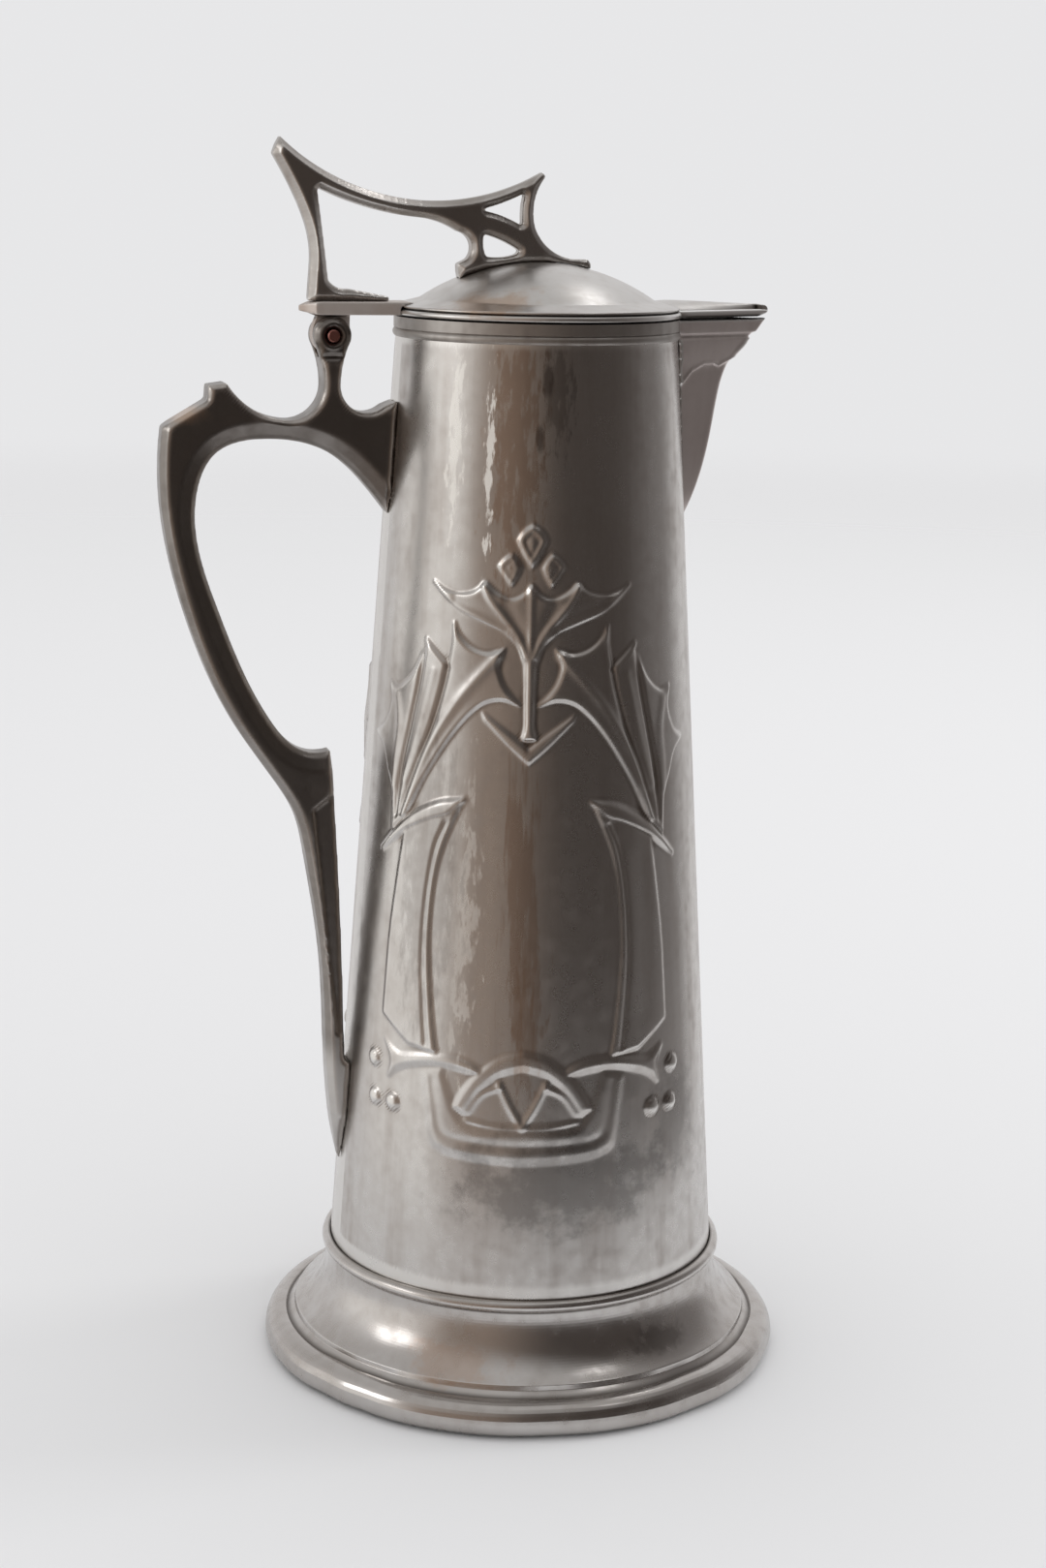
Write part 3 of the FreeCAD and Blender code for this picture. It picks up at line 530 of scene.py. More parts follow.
def barrel_radius(height):
    return BASE_RADIUS + (height - BASE_Z) * (TOP_RADIUS - BASE_RADIUS) / (MOUTH_Z - BASE_Z)


def on_sheet(points):
    """Points of the ornament in degrees and millimetres, on the barrel's skin rolled out flat."""
    angle, height = np.array(points, float).T
    return np.column_stack([np.radians(angle) * barrel_radius(height), height])


def smooth_line(points, steps=5):
    """A line drawn through a few points, rounded between them."""
    p = on_sheet(points)
    if len(p) == 2:
        return p
    padded = np.vstack([2 * p[0] - p[1], p, 2 * p[-1] - p[-2]])
    t = np.linspace(0, 1, steps, endpoint=False)[:, None]
    parts = []
    for a, b, c, d in zip(padded, padded[1:], padded[2:], padded[3:]):
        bend = (2 * a - 5 * b + 4 * c - d) * t**2 + (3 * b - a - 3 * c + d) * t**3
        parts.append(b + 0.5 * ((c - a) * t + bend))
    return np.vstack(parts + [p[-1:]])


def distance(places, line):
    """Distance of each place from a line of points."""
    nearest = np.full(len(places), np.inf)
    for start, end in zip(line, line[1:]):
        along = end - start
        share = np.clip((places - start) @ along / max(along @ along, 1e-9), 0, 1)
        nearest = np.minimum(nearest, np.hypot(*(places - start - share[:, None] * along).T))
    return nearest


def inside(places, line):
    """Whether each place lies inside a closed line."""
    found = np.zeros(len(places), bool)
    for (x1, y1), (x2, y2) in zip(line, np.roll(line, -1, axis=0)):
        if y1 != y2:
            crosses = (y1 > places[:, 1]) != (y2 > places[:, 1])
            found ^= crosses & (places[:, 0] < x1 + (places[:, 1] - y1) * (x2 - x1) / (y2 - y1))
    return found


def near(places, line, margin):
    low, high = line.min(axis=0) - margin, line.max(axis=0) + margin
    return np.all((places > low) & (places < high), axis=1)


def soft_step(value):
    value = np.clip(value, 0, 1)
    return value * value * (3 - 2 * value)


RELIEF_SCALE, EDGE_SPREAD = 1.05, 1.6


class Relief:
    """Heights in millimetres over the sheet; the ornament is drawn for one side and mirrored."""

    def __init__(self, places):
        self.places = np.column_stack([np.abs(places[:, 0]), places[:, 1]])
        self.height = np.zeros(len(places))

    def plate(self, height, edge, *strokes):
        """A raised field inside strokes that follow one another; corners stand only between strokes."""
        line = np.vstack([smooth_line(stroke) for stroke in strokes])
        here = near(self.places, line, 2 * edge)
        places = self.places[here]
        depth = distance(places, np.vstack([line, line[:1]])) * np.where(inside(places, line), 1, -1)
        edge = edge * EDGE_SPREAD
        raised = height * RELIEF_SCALE * soft_step(depth / edge + 0.5)
        self.height[here] = np.maximum(self.height[here], raised)

    def rib(self, height, width, points):
        """A rounded ridge along a line, or with a negative height a groove."""
        line = smooth_line(points)
        here = near(self.places, line, 2.5 * width)
        gone = distance(self.places[here], line) / width
        self.height[here] += height * RELIEF_SCALE * np.exp(-(gone**2))

    def boss(self, height, radius, centre):
        gone = np.hypot(*(self.places - on_sheet([centre])[0]).T) / radius
        self.height = np.maximum(self.height, height * np.sqrt(np.clip(1 - gone**2, 0, 1)))


def carve(relief):
    """The ornament, from the diamonds under the mouth down to the basket between the pilasters."""
    relief.plate(1.0, 1.2, [(-3, 263.3), (0, 263.3)], [(0, 263.3), (3.2, 261.6), (5.2, 259)],
                 [(5.2, 259), (2.6, 254.8), (0, 251.6)], [(0, 251.6), (-3, 251.6)])
    relief.rib(-0.35, 0.8, [(0, 260.6), (2.2, 258.8), (0, 255)])
    relief.plate(0.9, 1.1, [(7.4, 255), (9.8, 253.6), (11.8, 251.6)],
                 [(11.8, 251.6), (9.4, 248.8), (7.2, 246.2)],
                 [(7.2, 246.2), (5.3, 248.6), (3.9, 251.2)], [(3.9, 251.2), (5.4, 253.3), (7.4, 255)])
    relief.rib(-0.3, 0.7, [(7.6, 252.9), (9.4, 251.3), (7.2, 248.7)])

    relief.plate(0.9, 1.1, [(-4, 244.4), (0, 246.2)],
                 [(0, 246.2), (3.2, 243.4), (7, 242.2), (11.5, 243.4), (16.6, 246.7)],
                 [(16.6, 246.7), (20.8, 243.9), (26.7, 242.9), (32.5, 243.7), (37.4, 245.8)],
                 [(37.4, 245.8), (31, 241), (25.6, 238.2), (16, 235.2), (8.8, 232.4),
                  (4.2, 228.6), (2, 223.5)],
                 [(2, 223.5), (1.6, 218)], [(1.6, 218), (-4, 218)])
    relief.rib(0.5, 0.9, [(16.6, 246), (14.4, 242.2), (9.6, 237.2), (4.2, 231.8), (1.4, 226)])
    relief.rib(0.4, 0.8, [(0, 245.5), (0, 226)])
    relief.rib(-0.4, 1.8, [(8.4, 240.6), (6, 236.6), (2.6, 230.6)])
    relief.rib(-0.4, 1.8, [(27.5, 241), (17.4, 238.2), (9, 234.2)])
    relief.plate(1.3, 0.9, [(1.5, 226), (1.45, 212.7), (1.35, 206), (2.3, 202.2)],
                 [(2.3, 202.2), (-3, 201.8)],
                 [(-3, 226), (1.5, 226)])

    relief.plate(0.7, 1.0, [(-4, 198.2), (0, 195)],
                 [(0, 195), (7, 200.4), (15.2, 207.4)],
                 [(15.2, 207.4), (15.9, 209.3)],
                 [(15.9, 209.3), (6.3, 203.4), (0, 199.2)], [(0, 199.2), (-4, 202)])

    relief.plate(0.95, 1.1,
                 [(28, 234.6), (25.8, 231.2), (21.3, 227.9), (15.8, 226.4), (10.8, 227.2), (9, 228)],
                 [(9, 228), (10.7, 224.5), (10.8, 221.5), (9, 217.5), (5.6, 213.8), (3.3, 212)],
                 [(3.3, 212), (9.4, 213.4), (15.4, 212.3), (21.1, 208.3), (26.9, 202.3),
                  (32.8, 194.7), (38, 187), (44, 176.5)],
                 [(44, 176.5), (51, 171)],
                 [(51, 171), (52, 182.3), (55.3, 188.5), (59.3, 195.2), (65.8, 198.6)],
                 [(65.8, 198.6), (60, 201.2), (56.6, 205.6)],
                 [(56.6, 205.6), (55.8, 209.5), (57.4, 214.9)],
                 [(57.4, 214.9), (52.5, 213.6), (46.9, 216.3), (42.5, 221.4), (39.4, 229)],
                 [(39.4, 229), (34.3, 225.4), (29.4, 221.9)],
                 [(29.4, 221.9), (28.2, 228), (28, 234.6)])
    relief.rib(0.55, 1.4, [(11, 226), (18.7, 218.7), (25.6, 211.5), (32.3, 202.7),
                           (39, 192.4), (45, 177)])
    relief.rib(-0.75, 0.9, [(39.6, 227), (41.2, 216.6), (44.3, 203.6), (47.3, 191.6), (49.5, 176)])
    relief.rib(-0.75, 0.9, [(29.5, 221.5), (31.3, 214.4), (35.5, 202.4), (41.4, 189.6), (47, 177)])
    relief.rib(0.3, 1.4, [(35, 220), (37.5, 211), (41, 199), (45.5, 187)])
    relief.rib(0.3, 1.4, [(52, 211.5), (50, 203), (50.8, 193), (51, 185)])

    relief.plate(0.8, 1.1,
                 [(22, 183), (27.8, 171.1), (31.1, 159.3), (32.2, 143.8), (31.2, 129.6),
                  (29.2, 115), (27.6, 107.5)],
                 [(27.6, 107.5), (38, 108.8)], [(38, 108.8), (50, 115.8)],
                 [(50, 115.8), (49.2, 139), (47.3, 155.7), (45, 171.5)],
                 [(45, 171.5), (33, 177.5), (22, 183)])
    relief.rib(-0.5, 0.8, [(27.5, 176.5), (31.3, 168), (33.7, 153), (34.2, 136), (32.8, 121),
                           (31.4, 110)])
    relief.rib(-0.2, 4.0, [(40, 165), (41.5, 145), (40.5, 120)])
    relief.plate(1.2, 1.7, [(21.5, 183.8), (30.7, 182.3), (42, 177.2), (50, 171), (56.6, 164.6)],
                 [(56.6, 164.6), (52, 167.2), (43.6, 172.2), (33.3, 176.6), (26, 179), (21.5, 183.8)])

    relief.plate(0.8, 1.7,
                 [(48, 108), (44, 106), (40.2, 105.2), (30.6, 106.9), (22.2, 107.3), (16, 105.7),
                  (11.5, 102.6)],
                 [(11.5, 102.6), (21.2, 104.2), (29.6, 104.2), (38, 102.1), (42.5, 100), (45.8, 97.4)],
                 [(45.8, 97.4), (45.2, 102.8), (48, 108)])
    for centre in ((53, 101.2), (43.3, 89.8), (51.6, 89.5)):
        relief.boss(1.3, 2.7, centre)

    relief.plate(0.5, 2.0, [(31.8, 101), (30.2, 92), (28.2, 82), (25, 79.2), (17, 77.8), (0, 77)],
                 [(0, 77), (-4, 77)],
                 [(-4, 86.5), (0, 86.5)],
                 [(0, 86.5), (14.8, 86.3), (20.4, 90.3), (22.8, 95.5), (25.6, 103)],
                 [(25.6, 103), (31.8, 101)])
    relief.rib(-0.2, 1.4, [(28.6, 100), (26.8, 91), (24, 83.6), (14, 82), (0, 81.6)])
    relief.plate(0.7, 1.6, [(-4, 109.4), (0, 109.9)],
                 [(0, 109.9), (7.5, 107.9), (14.5, 102.2), (18.5, 97), (21.3, 92.4)],
                 [(21.3, 92.4), (18, 90.8)],
                 [(18, 90.8), (13.2, 98), (7, 103.3), (0, 105.4)],
                 [(0, 105.4), (-4, 105)])
    relief.rib(0.45, 0.9, [(7.2, 100.6), (4, 94), (0, 87.4)])
    relief.rib(0.35, 0.8, [(16.5, 91.1), (12.4, 96.8), (7.2, 99.4)])
    relief.rib(0.3, 0.8, [(17, 88.8), (9, 87.6), (0, 87.4)])


def runs(*stretches):
    """Places along a line: each stretch runs evenly from its start towards its end in so many steps."""
    return np.concatenate([np.linspace(a, b, count, endpoint=False) for a, b, count in stretches])


def sheet_piece(name, columns, rows, depth):
    """A flat grid wrapped round the barrel, at a depth under its skin, and cut back behind the spout."""
    bpy.ops.mesh.primitive_grid_add(x_subdivisions=len(columns) - 1, y_subdivisions=len(rows) - 1, size=1)
    piece = bpy.context.object
    piece.name = name
    mesh = piece.data
    flat = np.empty(len(mesh.vertices) * 3)
    mesh.vertices.foreach_get("co", flat)
    across, up, _ = flat.reshape(-1, 3).T + 0.5
    angle = columns[np.rint(across * (len(columns) - 1)).astype(int)]
    height = rows[np.rint(up * (len(rows) - 1)).astype(int)]
    opening = np.clip((height - OPENING_LOW) / (OPENING_HIGH - OPENING_LOW), 0, 1) * OPENING_HALF_WIDTH
    cut = np.degrees(np.arcsin(opening / barrel_radius(height)))
    beyond = np.clip((angle - LAST_PLAIN) / (HALF_END - LAST_PLAIN), 0, 1)
    angle = angle - beyond * cut
    radius = barrel_radius(height) - depth
    if depth == 0:
        relief = Relief(np.column_stack([np.radians(angle) * radius, height]))
        carve(relief)
        radius = radius + relief.height
    turn = np.radians(angle + ORNAMENT_FACES)
    places = np.column_stack([radius * np.cos(turn), radius * np.sin(turn), height]) * MM
    mesh.vertices.foreach_set("co", places.ravel())
    return piece


def add_sheet_map(piece, start):
    """A UV map in metres over the skin: along the round from the ornament's middle, and up."""
    mesh = piece.data
    layer = mesh.uv_layers[0] if mesh.uv_layers else mesh.uv_layers.new(name="skin")
    places = np.empty(len(mesh.vertices) * 3)
    mesh.vertices.foreach_get("co", places)
    x, y, z = places.reshape(-1, 3).T
    turn = np.arctan2(-np.abs(y), x) - math.radians(ORNAMENT_FACES)
    corners = np.empty(len(mesh.loops), int)
    mesh.loops.foreach_get("vertex_index", corners)
    layer.data.foreach_set("uv", np.column_stack([start + turn * SKIN_RADIUS, z])[corners].ravel())


def half_barrel(name):
    side = ORNAMENT_SIDE
    columns = np.append(runs((HALF_START, -side, 5), (-side, side, 206), (side, HALF_END, 22)), HALF_END)
    low, high = ORNAMENT_LOW, ORNAMENT_HIGH
    rows = np.append(runs((BASE_Z, low, 20), (low, high, 340), (high, MOUTH_Z, 26)), MOUTH_Z)
    outside = sheet_piece(name, columns, rows, 0)
    columns = np.linspace(HALF_START, HALF_END, LINING_COLUMNS)
    rows = np.linspace(BASE_Z, MOUTH_Z, LINING_ROWS)
    lining = sheet_piece(f"{name}_lining", columns, rows, WALL)
    bpy.ops.object.select_all(action="DESELECT")
    lining.select_set(True)
    outside.select_set(True)
    bpy.context.view_layer.objects.active = outside
    bpy.ops.object.join()
    open_for_edit(outside)
    bpy.ops.mesh.select_all(action="DESELECT")
    bpy.ops.mesh.select_mode(type="EDGE")
    bpy.ops.mesh.select_non_manifold()
    bpy.ops.mesh.bridge_edge_loops()
    close_edit(75)
    return outside


front_half = half_barrel("barrel_front")
back_half = bpy.data.objects.new("barrel_back", front_half.data.copy())
bpy.context.scene.collection.objects.link(back_half)
back_half.data.transform(Matrix.Scale(-1, 4, (0, 1, 0)))
open_for_edit(back_half)
close_edit(75)
add_sheet_map(front_half, 0)
add_sheet_map(back_half, 0.5)
barrel_pewter = pewter(
    "barrel_pewter", metal=(0.60, 0.58, 0.56, 1), dull=(0.36, 0.315, 0.285, 1),
    spread=0.25, drips=0.35, grain=0.05, satin=0.27,
)


MARK_ROUNDS = 4


def mark_edges(piece, spacing):
    """Stores how far each place stands out from those round it: edges positive, corners negative."""
    mesh = piece.data
    count = len(mesh.vertices)
    places, normals = np.empty(count * 3), np.empty(count * 3)
    mesh.vertices.foreach_get("co", places)
    mesh.vertices.foreach_get("normal", normals)
    ends = np.empty(len(mesh.edges) * 2, int)
    mesh.edges.foreach_get("vertices", ends)
    one, other = ends.reshape(-1, 2).T
    start, finish = np.append(one, other), np.append(other, one)
    neighbours = np.bincount(start, minlength=count)

    def around(values):
        return np.bincount(start, values[finish], count) / neighbours

    axes = zip(places.reshape(-1, 3).T, normals.reshape(-1, 3).T)
    stand = sum((axis - around(axis)) * normal for axis, normal in axes) / (spacing * MM)
    for _ in range(MARK_ROUNDS):
        stand = around(stand)
    mesh.attributes.new("edge", "FLOAT", "POINT").data.foreach_set("value", stand)


def chalk_over(material, mask):
    """Takes the metal's gloss away where a mask is light, as chalky deposits do."""
    tree = material.node_tree
    metallic = tree.nodes["Principled BSDF"].inputs["Metallic"]
    left = add_node(tree, "ShaderNodeMath", {"operation": "MULTIPLY"})
    fill_input(tree, left.inputs[0], ramp(tree, mask, 0.0, 1.0, 1.0, CHALKED))
    present = metallic.links[0].from_socket if metallic.links else metallic.default_value
    fill_input(tree, left.inputs[1], present)
    tree.links.new(left.outputs["Value"], metallic)


CHALKED = 0.45
PALE = (0.82, 0.79, 0.74, 1)
BROWN = (0.36, 0.25, 0.18, 1)
DARK = (0.13, 0.11, 0.10, 1)
CLOUD = (0.25, 0.235, 0.225, 1)
RUNS, FLECKS, CLOUDS = (300, 26, 1), (420, 110, 1), (110, 90, 1)
skin_map = add_node(barrel_pewter.node_tree, "ShaderNodeUVMap").outputs["UV"]
for colour, angle, height, half_angle, half_height, stretch, ragged, strength in (
    (BROWN, -7, 288, 12, 50, FLECKS, 4.0, 0.55),
    (BROWN, -2, 152, 7, 54, RUNS, 4.5, 0.55),
    (BROWN, 1, 118, 6, 26, FLECKS, 4.0, 0.45),
    (PALE, -20, 148, 5, 46, FLECKS, 5.0, 0.45),
    (PALE, -17, 281, 2.0, 32, FLECKS, 5.0, 1.00),
    (PALE, -31, 288, 4, 28, FLECKS, 5.0, 0.60),
    (DARK, 5, 304, 2.6, 6, CLOUDS, 1.6, 0.70),
    (DARK, 2, 288, 2.2, 5, CLOUDS, 1.6, 0.65),
    (DARK, 9, 300, 7, 20, FLECKS, 4.0, 0.40),
    (DARK, -33, 160, 16, 55, FLECKS, 2.4, 0.30),
    (CLOUD, 14, 70, 46, 19, CLOUDS, 2.2, 0.70),
    (CLOUD, 55, 84, 14, 26, CLOUDS, 2.0, 0.50),
):
    centre = (math.radians(angle) * SKIN_RADIUS, height * MM, 0)
    size = (math.radians(half_angle) * SKIN_RADIUS, half_height * MM, 1)
    mask = overlay(barrel_pewter, colour, skin_map, centre, size, stretch, ragged, strength)
    if colour == PALE:
        chalk_over(barrel_pewter, mask)
lay_wear_and_painted_light(barrel_pewter, (0.70, 0.68, 0.655, 1), (0.25, 0.215, 0.19, 1))
lining_mark = add_node(barrel_pewter.node_tree, "ShaderNodeAttribute", {"attribute_name": "lining"})
lining = lining_mark.outputs["Fac"]
paint_over(barrel_pewter, lining, LINING_COLOUR)
chalk_over(barrel_pewter, lining)
for half in (front_half, back_half):
    mark_edges(half, SKIN_SPACING)
    spots = [vertex.co / MM for vertex in half.data.vertices]
    inner = [float(spot.xy.length < barrel_radius(spot.z) - WALL / 2) for spot in spots]
    half.data.attributes.new("lining", "FLOAT", "POINT").data.foreach_set("value", inner)
    half.data.materials.clear()
    half.data.materials.append(barrel_pewter)
    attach(half, "jug")
    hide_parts("barrel")

# The mouth band: a thin moulded strip of pewter bent to a ring.
# It is soldered round the mouth and stops at the spout.
band_pewter = pewter(
    "band_pewter", metal=(0.48, 0.46, 0.44, 1), dull=(0.30, 0.265, 0.24, 1),
    spread=0.4, drips=0.3, grain=0.06, satin=0.46,
)
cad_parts["mouth_band"].data.materials.clear()
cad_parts["mouth_band"].data.materials.append(band_pewter)


# The spout: a beak of sheet pewter, folded to a keel and soldered over the barrel's opening.
# A raised line crosses its flanks under the lip, and its edges are worn soft.
SPOUT_VOXEL = 0.42


def soft_casting(name, node, voxel, rounds):
    """A copy of a solid with its edges worn soft: meshed again evenly, then smoothed."""
    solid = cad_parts[node]
    piece = bpy.data.objects.new(name, solid.data.copy())
    bpy.context.scene.collection.objects.link(piece)
    piece.data.transform(solid.matrix_world)
    piece.data.materials.clear()
    open_for_edit(piece)
    bpy.ops.mesh.remove_doubles(threshold=2e-6)
    bpy.ops.object.mode_set(mode="OBJECT")
    even = piece.modifiers.new("even", "REMESH")
    even.mode = "VOXEL"
    even.voxel_size = voxel * MM
    soft = piece.modifiers.new("soft", "SMOOTH")
    soft.factor = 0.5
    soft.iterations = rounds
    for modifier in ("even", "soft"):
        bpy.ops.object.modifier_apply(modifier=modifier)
    bpy.ops.object.shade_smooth()
    return piece


spout = soft_casting("spout_beak", "spout", SPOUT_VOXEL, 2)
FLANK_LINE = [
    (39, 297.5), (41.2, 300.1), (45.1, 304.2), (49.5, 306.1),
    (53.2, 306.2), (55.1, 305.3), (60.1, 307.4), (66, 309.6),
]
FLANK_FACES, FACING_START, FACING_SOFT = (0.35, 0.93), 0.15, 0.3
LINE_HEIGHT, LINE_WIDTH = 0.35, 0.6
BAND_RISE, BAND_EDGE = 0.45, 0.5
KEEL_FULL, KEEL_FULL_Z, KEEL_FULL_HALF = 1.4, 310.8, 3.2
LIP_LOW, LIP_SOFT = 313.6, 0.8
LIP_OUTLINE, LIP_LEAN = ((38.6, 70.0), (14.8, 1.6)), 0.92
LIP_ROUND, LIP_ROUND_LOW, LIP_ROUND_HEIGHT = 0.7, 318.0, 1.4
line = np.array(FLANK_LINE)
count = len(spout.data.vertices)
places, normals = np.empty(count * 3), np.empty(count * 3)
spout.data.vertices.foreach_get("co", places)
spout.data.vertices.foreach_get("normal", normals)
places, normals = places.reshape(-1, 3) / MM, normals.reshape(-1, 3)
x, y, z = places.T
out = normals * (1, 1, 0) / np.maximum(np.hypot(normals[:, 0], normals[:, 1]), 1e-6)[:, None]
facing = FLANK_FACES[0] * normals[:, 0] + FLANK_FACES[1] * normals[:, 1] * np.sign(y)
faces_out = soft_step((facing - FACING_START) / FACING_SOFT)
away = distance(places[:, [0, 2]], line)
above = soft_step(np.copysign(away, z - np.interp(x, *line.T)) / BAND_EDGE + 0.5)
fullness = KEEL_FULL * np.exp(-(((z - KEEL_FULL_Z) / KEEL_FULL_HALF) ** 2))
fullness *= np.clip(out[:, 0], 0, 1) ** 2
rise = LINE_HEIGHT * np.exp(-((away / LINE_WIDTH) ** 2)) + above * (BAND_RISE + fullness)
rise *= faces_out * (1 - soft_step((z - LIP_LOW) / LIP_SOFT + 0.5))
places += out * rise[:, None]
from_edge = (np.interp(x, *LIP_OUTLINE) - np.abs(y)) * LIP_LEAN
upper = np.clip((z - LIP_ROUND_LOW) / LIP_ROUND_HEIGHT, 0, 1)
places[:, 2] -= LIP_ROUND * upper * np.clip(1 - from_edge, 0, 1) ** 2
spout.data.vertices.foreach_set("co", (places * MM).ravel())
spout.data.update()
mark_edges(spout, SPOUT_VOXEL)
spout_pewter = pewter(
    "spout_pewter", metal=(0.62, 0.56, 0.54, 1), dull=(0.42, 0.35, 0.33, 1),
    spread=0.5, drips=0.3, grain=0.06, satin=0.30, bare=0.90,
)
paint_over(spout_pewter, height_mask(spout_pewter, 307, 303, 0.6), (0.40, 0.345, 0.325, 1))
lay_wear_and_painted_light(spout_pewter, (0.70, 0.68, 0.66, 1), (0.17, 0.145, 0.13, 1))
# Painted shadow: the lip's top goes near black in the gap under the lid's flap.
paint_over(spout_pewter, height_mask(spout_pewter, 318.85, 319.15, 1.0), (0.012, 0.011, 0.010, 1))
spout.data.materials.append(spout_pewter)
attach(spout, "jug")
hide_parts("spout")

# The handle: one flat pewter casting, filed along its edges and dark with age.
# Its fork holds the hinge pin; it is soldered to the barrel above, and with a leaf below.
HANDLE_VOXEL = 0.55
TAN, HINGE_SHADE = (0.55, 0.42, 0.33, 1), (0.11, 0.098, 0.09, 1)


def file_slopes(piece, width, share):
    """Thins a flat casting towards its outline, as filing does: by a share, over a width."""
    mesh = piece.data
    walls = [vertex.co for vertex in mesh.vertices if abs(vertex.normal.y) < 0.5]
    rim = KDTree(len(walls))
    for number, place in enumerate(walls):
        rim.insert((place.x, 0, place.z), number)
    rim.balance()
    for vertex in mesh.vertices:
        gone = rim.find((vertex.co.x, 0, vertex.co.z))[2]
        vertex.co.y *= 1 - share * max(0, 1 - gone / (width * MM))


handle = soft_casting("handle_casting", "handle", HANDLE_VOXEL, 3)
file_slopes(handle, 1.4, 0.16)
mark_edges(handle, HANDLE_VOXEL)
handle_pewter = pewter(
    "handle_pewter", metal=(0.27, 0.25, 0.235, 1), dull=(0.155, 0.135, 0.12, 1),
    spread=0.6, drips=0.1, grain=0.15, satin=0.28,
)
lay_wear_and_painted_light(handle_pewter, (0.48, 0.45, 0.425, 1), (0.09, 0.078, 0.07, 1))
handle_place = add_node(handle_pewter.node_tree, "ShaderNodeTexCoord").outputs["Object"]
# A tan patch on the top of the handle's hook, and painted shade round the hinge pin in the fork.
for colour, centre, size, ragged, strength in (
    (TAN, (-0.105, 0, 0.2915), (0.010, 0.02, 0.004), 1.2, 0.80),
    (HINGE_SHADE, (-0.062, 0, 0.314), (0.009, 0.03, 0.009), 0.8, 0.75),
):
    overlay(handle_pewter, colour, handle_place, centre, size, (150, 150, 150), ragged, strength)
paint_over(handle_pewter, height_mask(handle_pewter, 104, 92, 0.9), (0.52, 0.50, 0.48, 1))
handle.data.materials.append(handle_pewter)
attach(handle, "jug")
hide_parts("handle")

# The hinge pin: a plain rod of reddish copper alloy, dulled by handling.
# It is held in the handle's fork, and the lid's knuckle turns on it.
copper = pewter(
    "pin_copper", metal=(0.38, 0.17, 0.145, 1), dull=(0.24, 0.11, 0.095, 1),
    spread=0.6, drips=0.0, grain=0.10, satin=0.40,
)
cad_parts["hinge_pin"].data.materials.clear()
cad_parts["hinge_pin"].data.materials.append(copper)

# The lid: a shallow dome of pewter turned with a sloping flange and a beaded rim, hollow underneath.
# A flap of sheet pewter with a rolled edge and an upturned tip covers the spout.
lid_profile = [
    (0, 335.3),
    *arc((0, 335.3), (17.4, 332.75), (34.4, 324.75), 20),
    *arc((34.4, 324.75), (35.1, 324.4), (35.9, 324.2), 3),
    (41.5, 322.75),
    *arc((41.5, 322.75), (41.95, 322.4), (41.8, 321.9), 4),
    (40.7, 321.75),
    (41.3, 321.55),
    *arc((41.3, 321.55), (42.65, 320.7), (41.7, 319.75), 8),
    (38.5, 319.75),
    (38.5, 320.8),
    (33.0, 320.8),
    *arc((33.0, 320.8), (16.5, 330.3), (0, 333.5), 14),
]
lid_dome = turned_piece("lid_dome", lid_profile, 192, 0.05)

FLAP_ROOT, FLAP_TIP = 34.5, 71.85
FLAP_HALF_WIDTH, FLAP_NOSE = 15.5, 2.2
BEAD_RADIUS, BEAD_Z, EDGE_WIDTH = 1.1, 320.95, 2.0
BEAD_SHARE, GROOVE_IN, NOSE_SOFT = 0.4, 2.1, 2.6
GROOVE_Z, CROWN_ROOT, CROWN_TIP = 321.3, 3.1, 2.2
FLAP_SHEET, VAULT_FULL, PLATE_EDGE = 1.0, 4.0, 0.98
LIFT_START, TIP_LIFT, ROOT_LIFT, ROOT_SINK = 68.5, 0.7, 1.0, 1.6
LID_RADIUS = 42.7
# Painted shade under the rim's bead and in the groove above it, and a painted highlight on the bead, by
# height.
DOME_SHADE_AND_HIGHLIGHTS = (
    (319.9, -0.10), (320.3, 0), (320.8, 0.07), (321.3, 0.03), (321.55, -0.10), (321.9, -0.10), (322.2, 0),
)
DOME_SHADE_AND_HIGHLIGHTS_FROM = 41.6
flank_start = math.sqrt(LID_RADIUS**2 - FLAP_HALF_WIDTH**2)
nose_middle = FLAP_TIP - FLAP_NOSE
lean = math.atan2(FLAP_HALF_WIDTH - FLAP_NOSE, nose_middle - flank_start)
nose = np.linspace(math.pi / 2 - lean, 0.15, 8)
nose_start = (nose_middle + FLAP_NOSE * math.cos(nose[0]), FLAP_NOSE * math.sin(nose[0]))
stations = [(FLAP_ROOT, FLAP_HALF_WIDTH)]
for share in np.linspace(0, 1, 12, endpoint=False):
    stations.append((
        flank_start + share * (nose_start[0] - flank_start),
        FLAP_HALF_WIDTH + share * (nose_start[1] - FLAP_HALF_WIDTH),
    ))
stations += [(nose_middle + FLAP_NOSE * math.cos(turn), FLAP_NOSE * math.sin(turn)) for turn in nose]


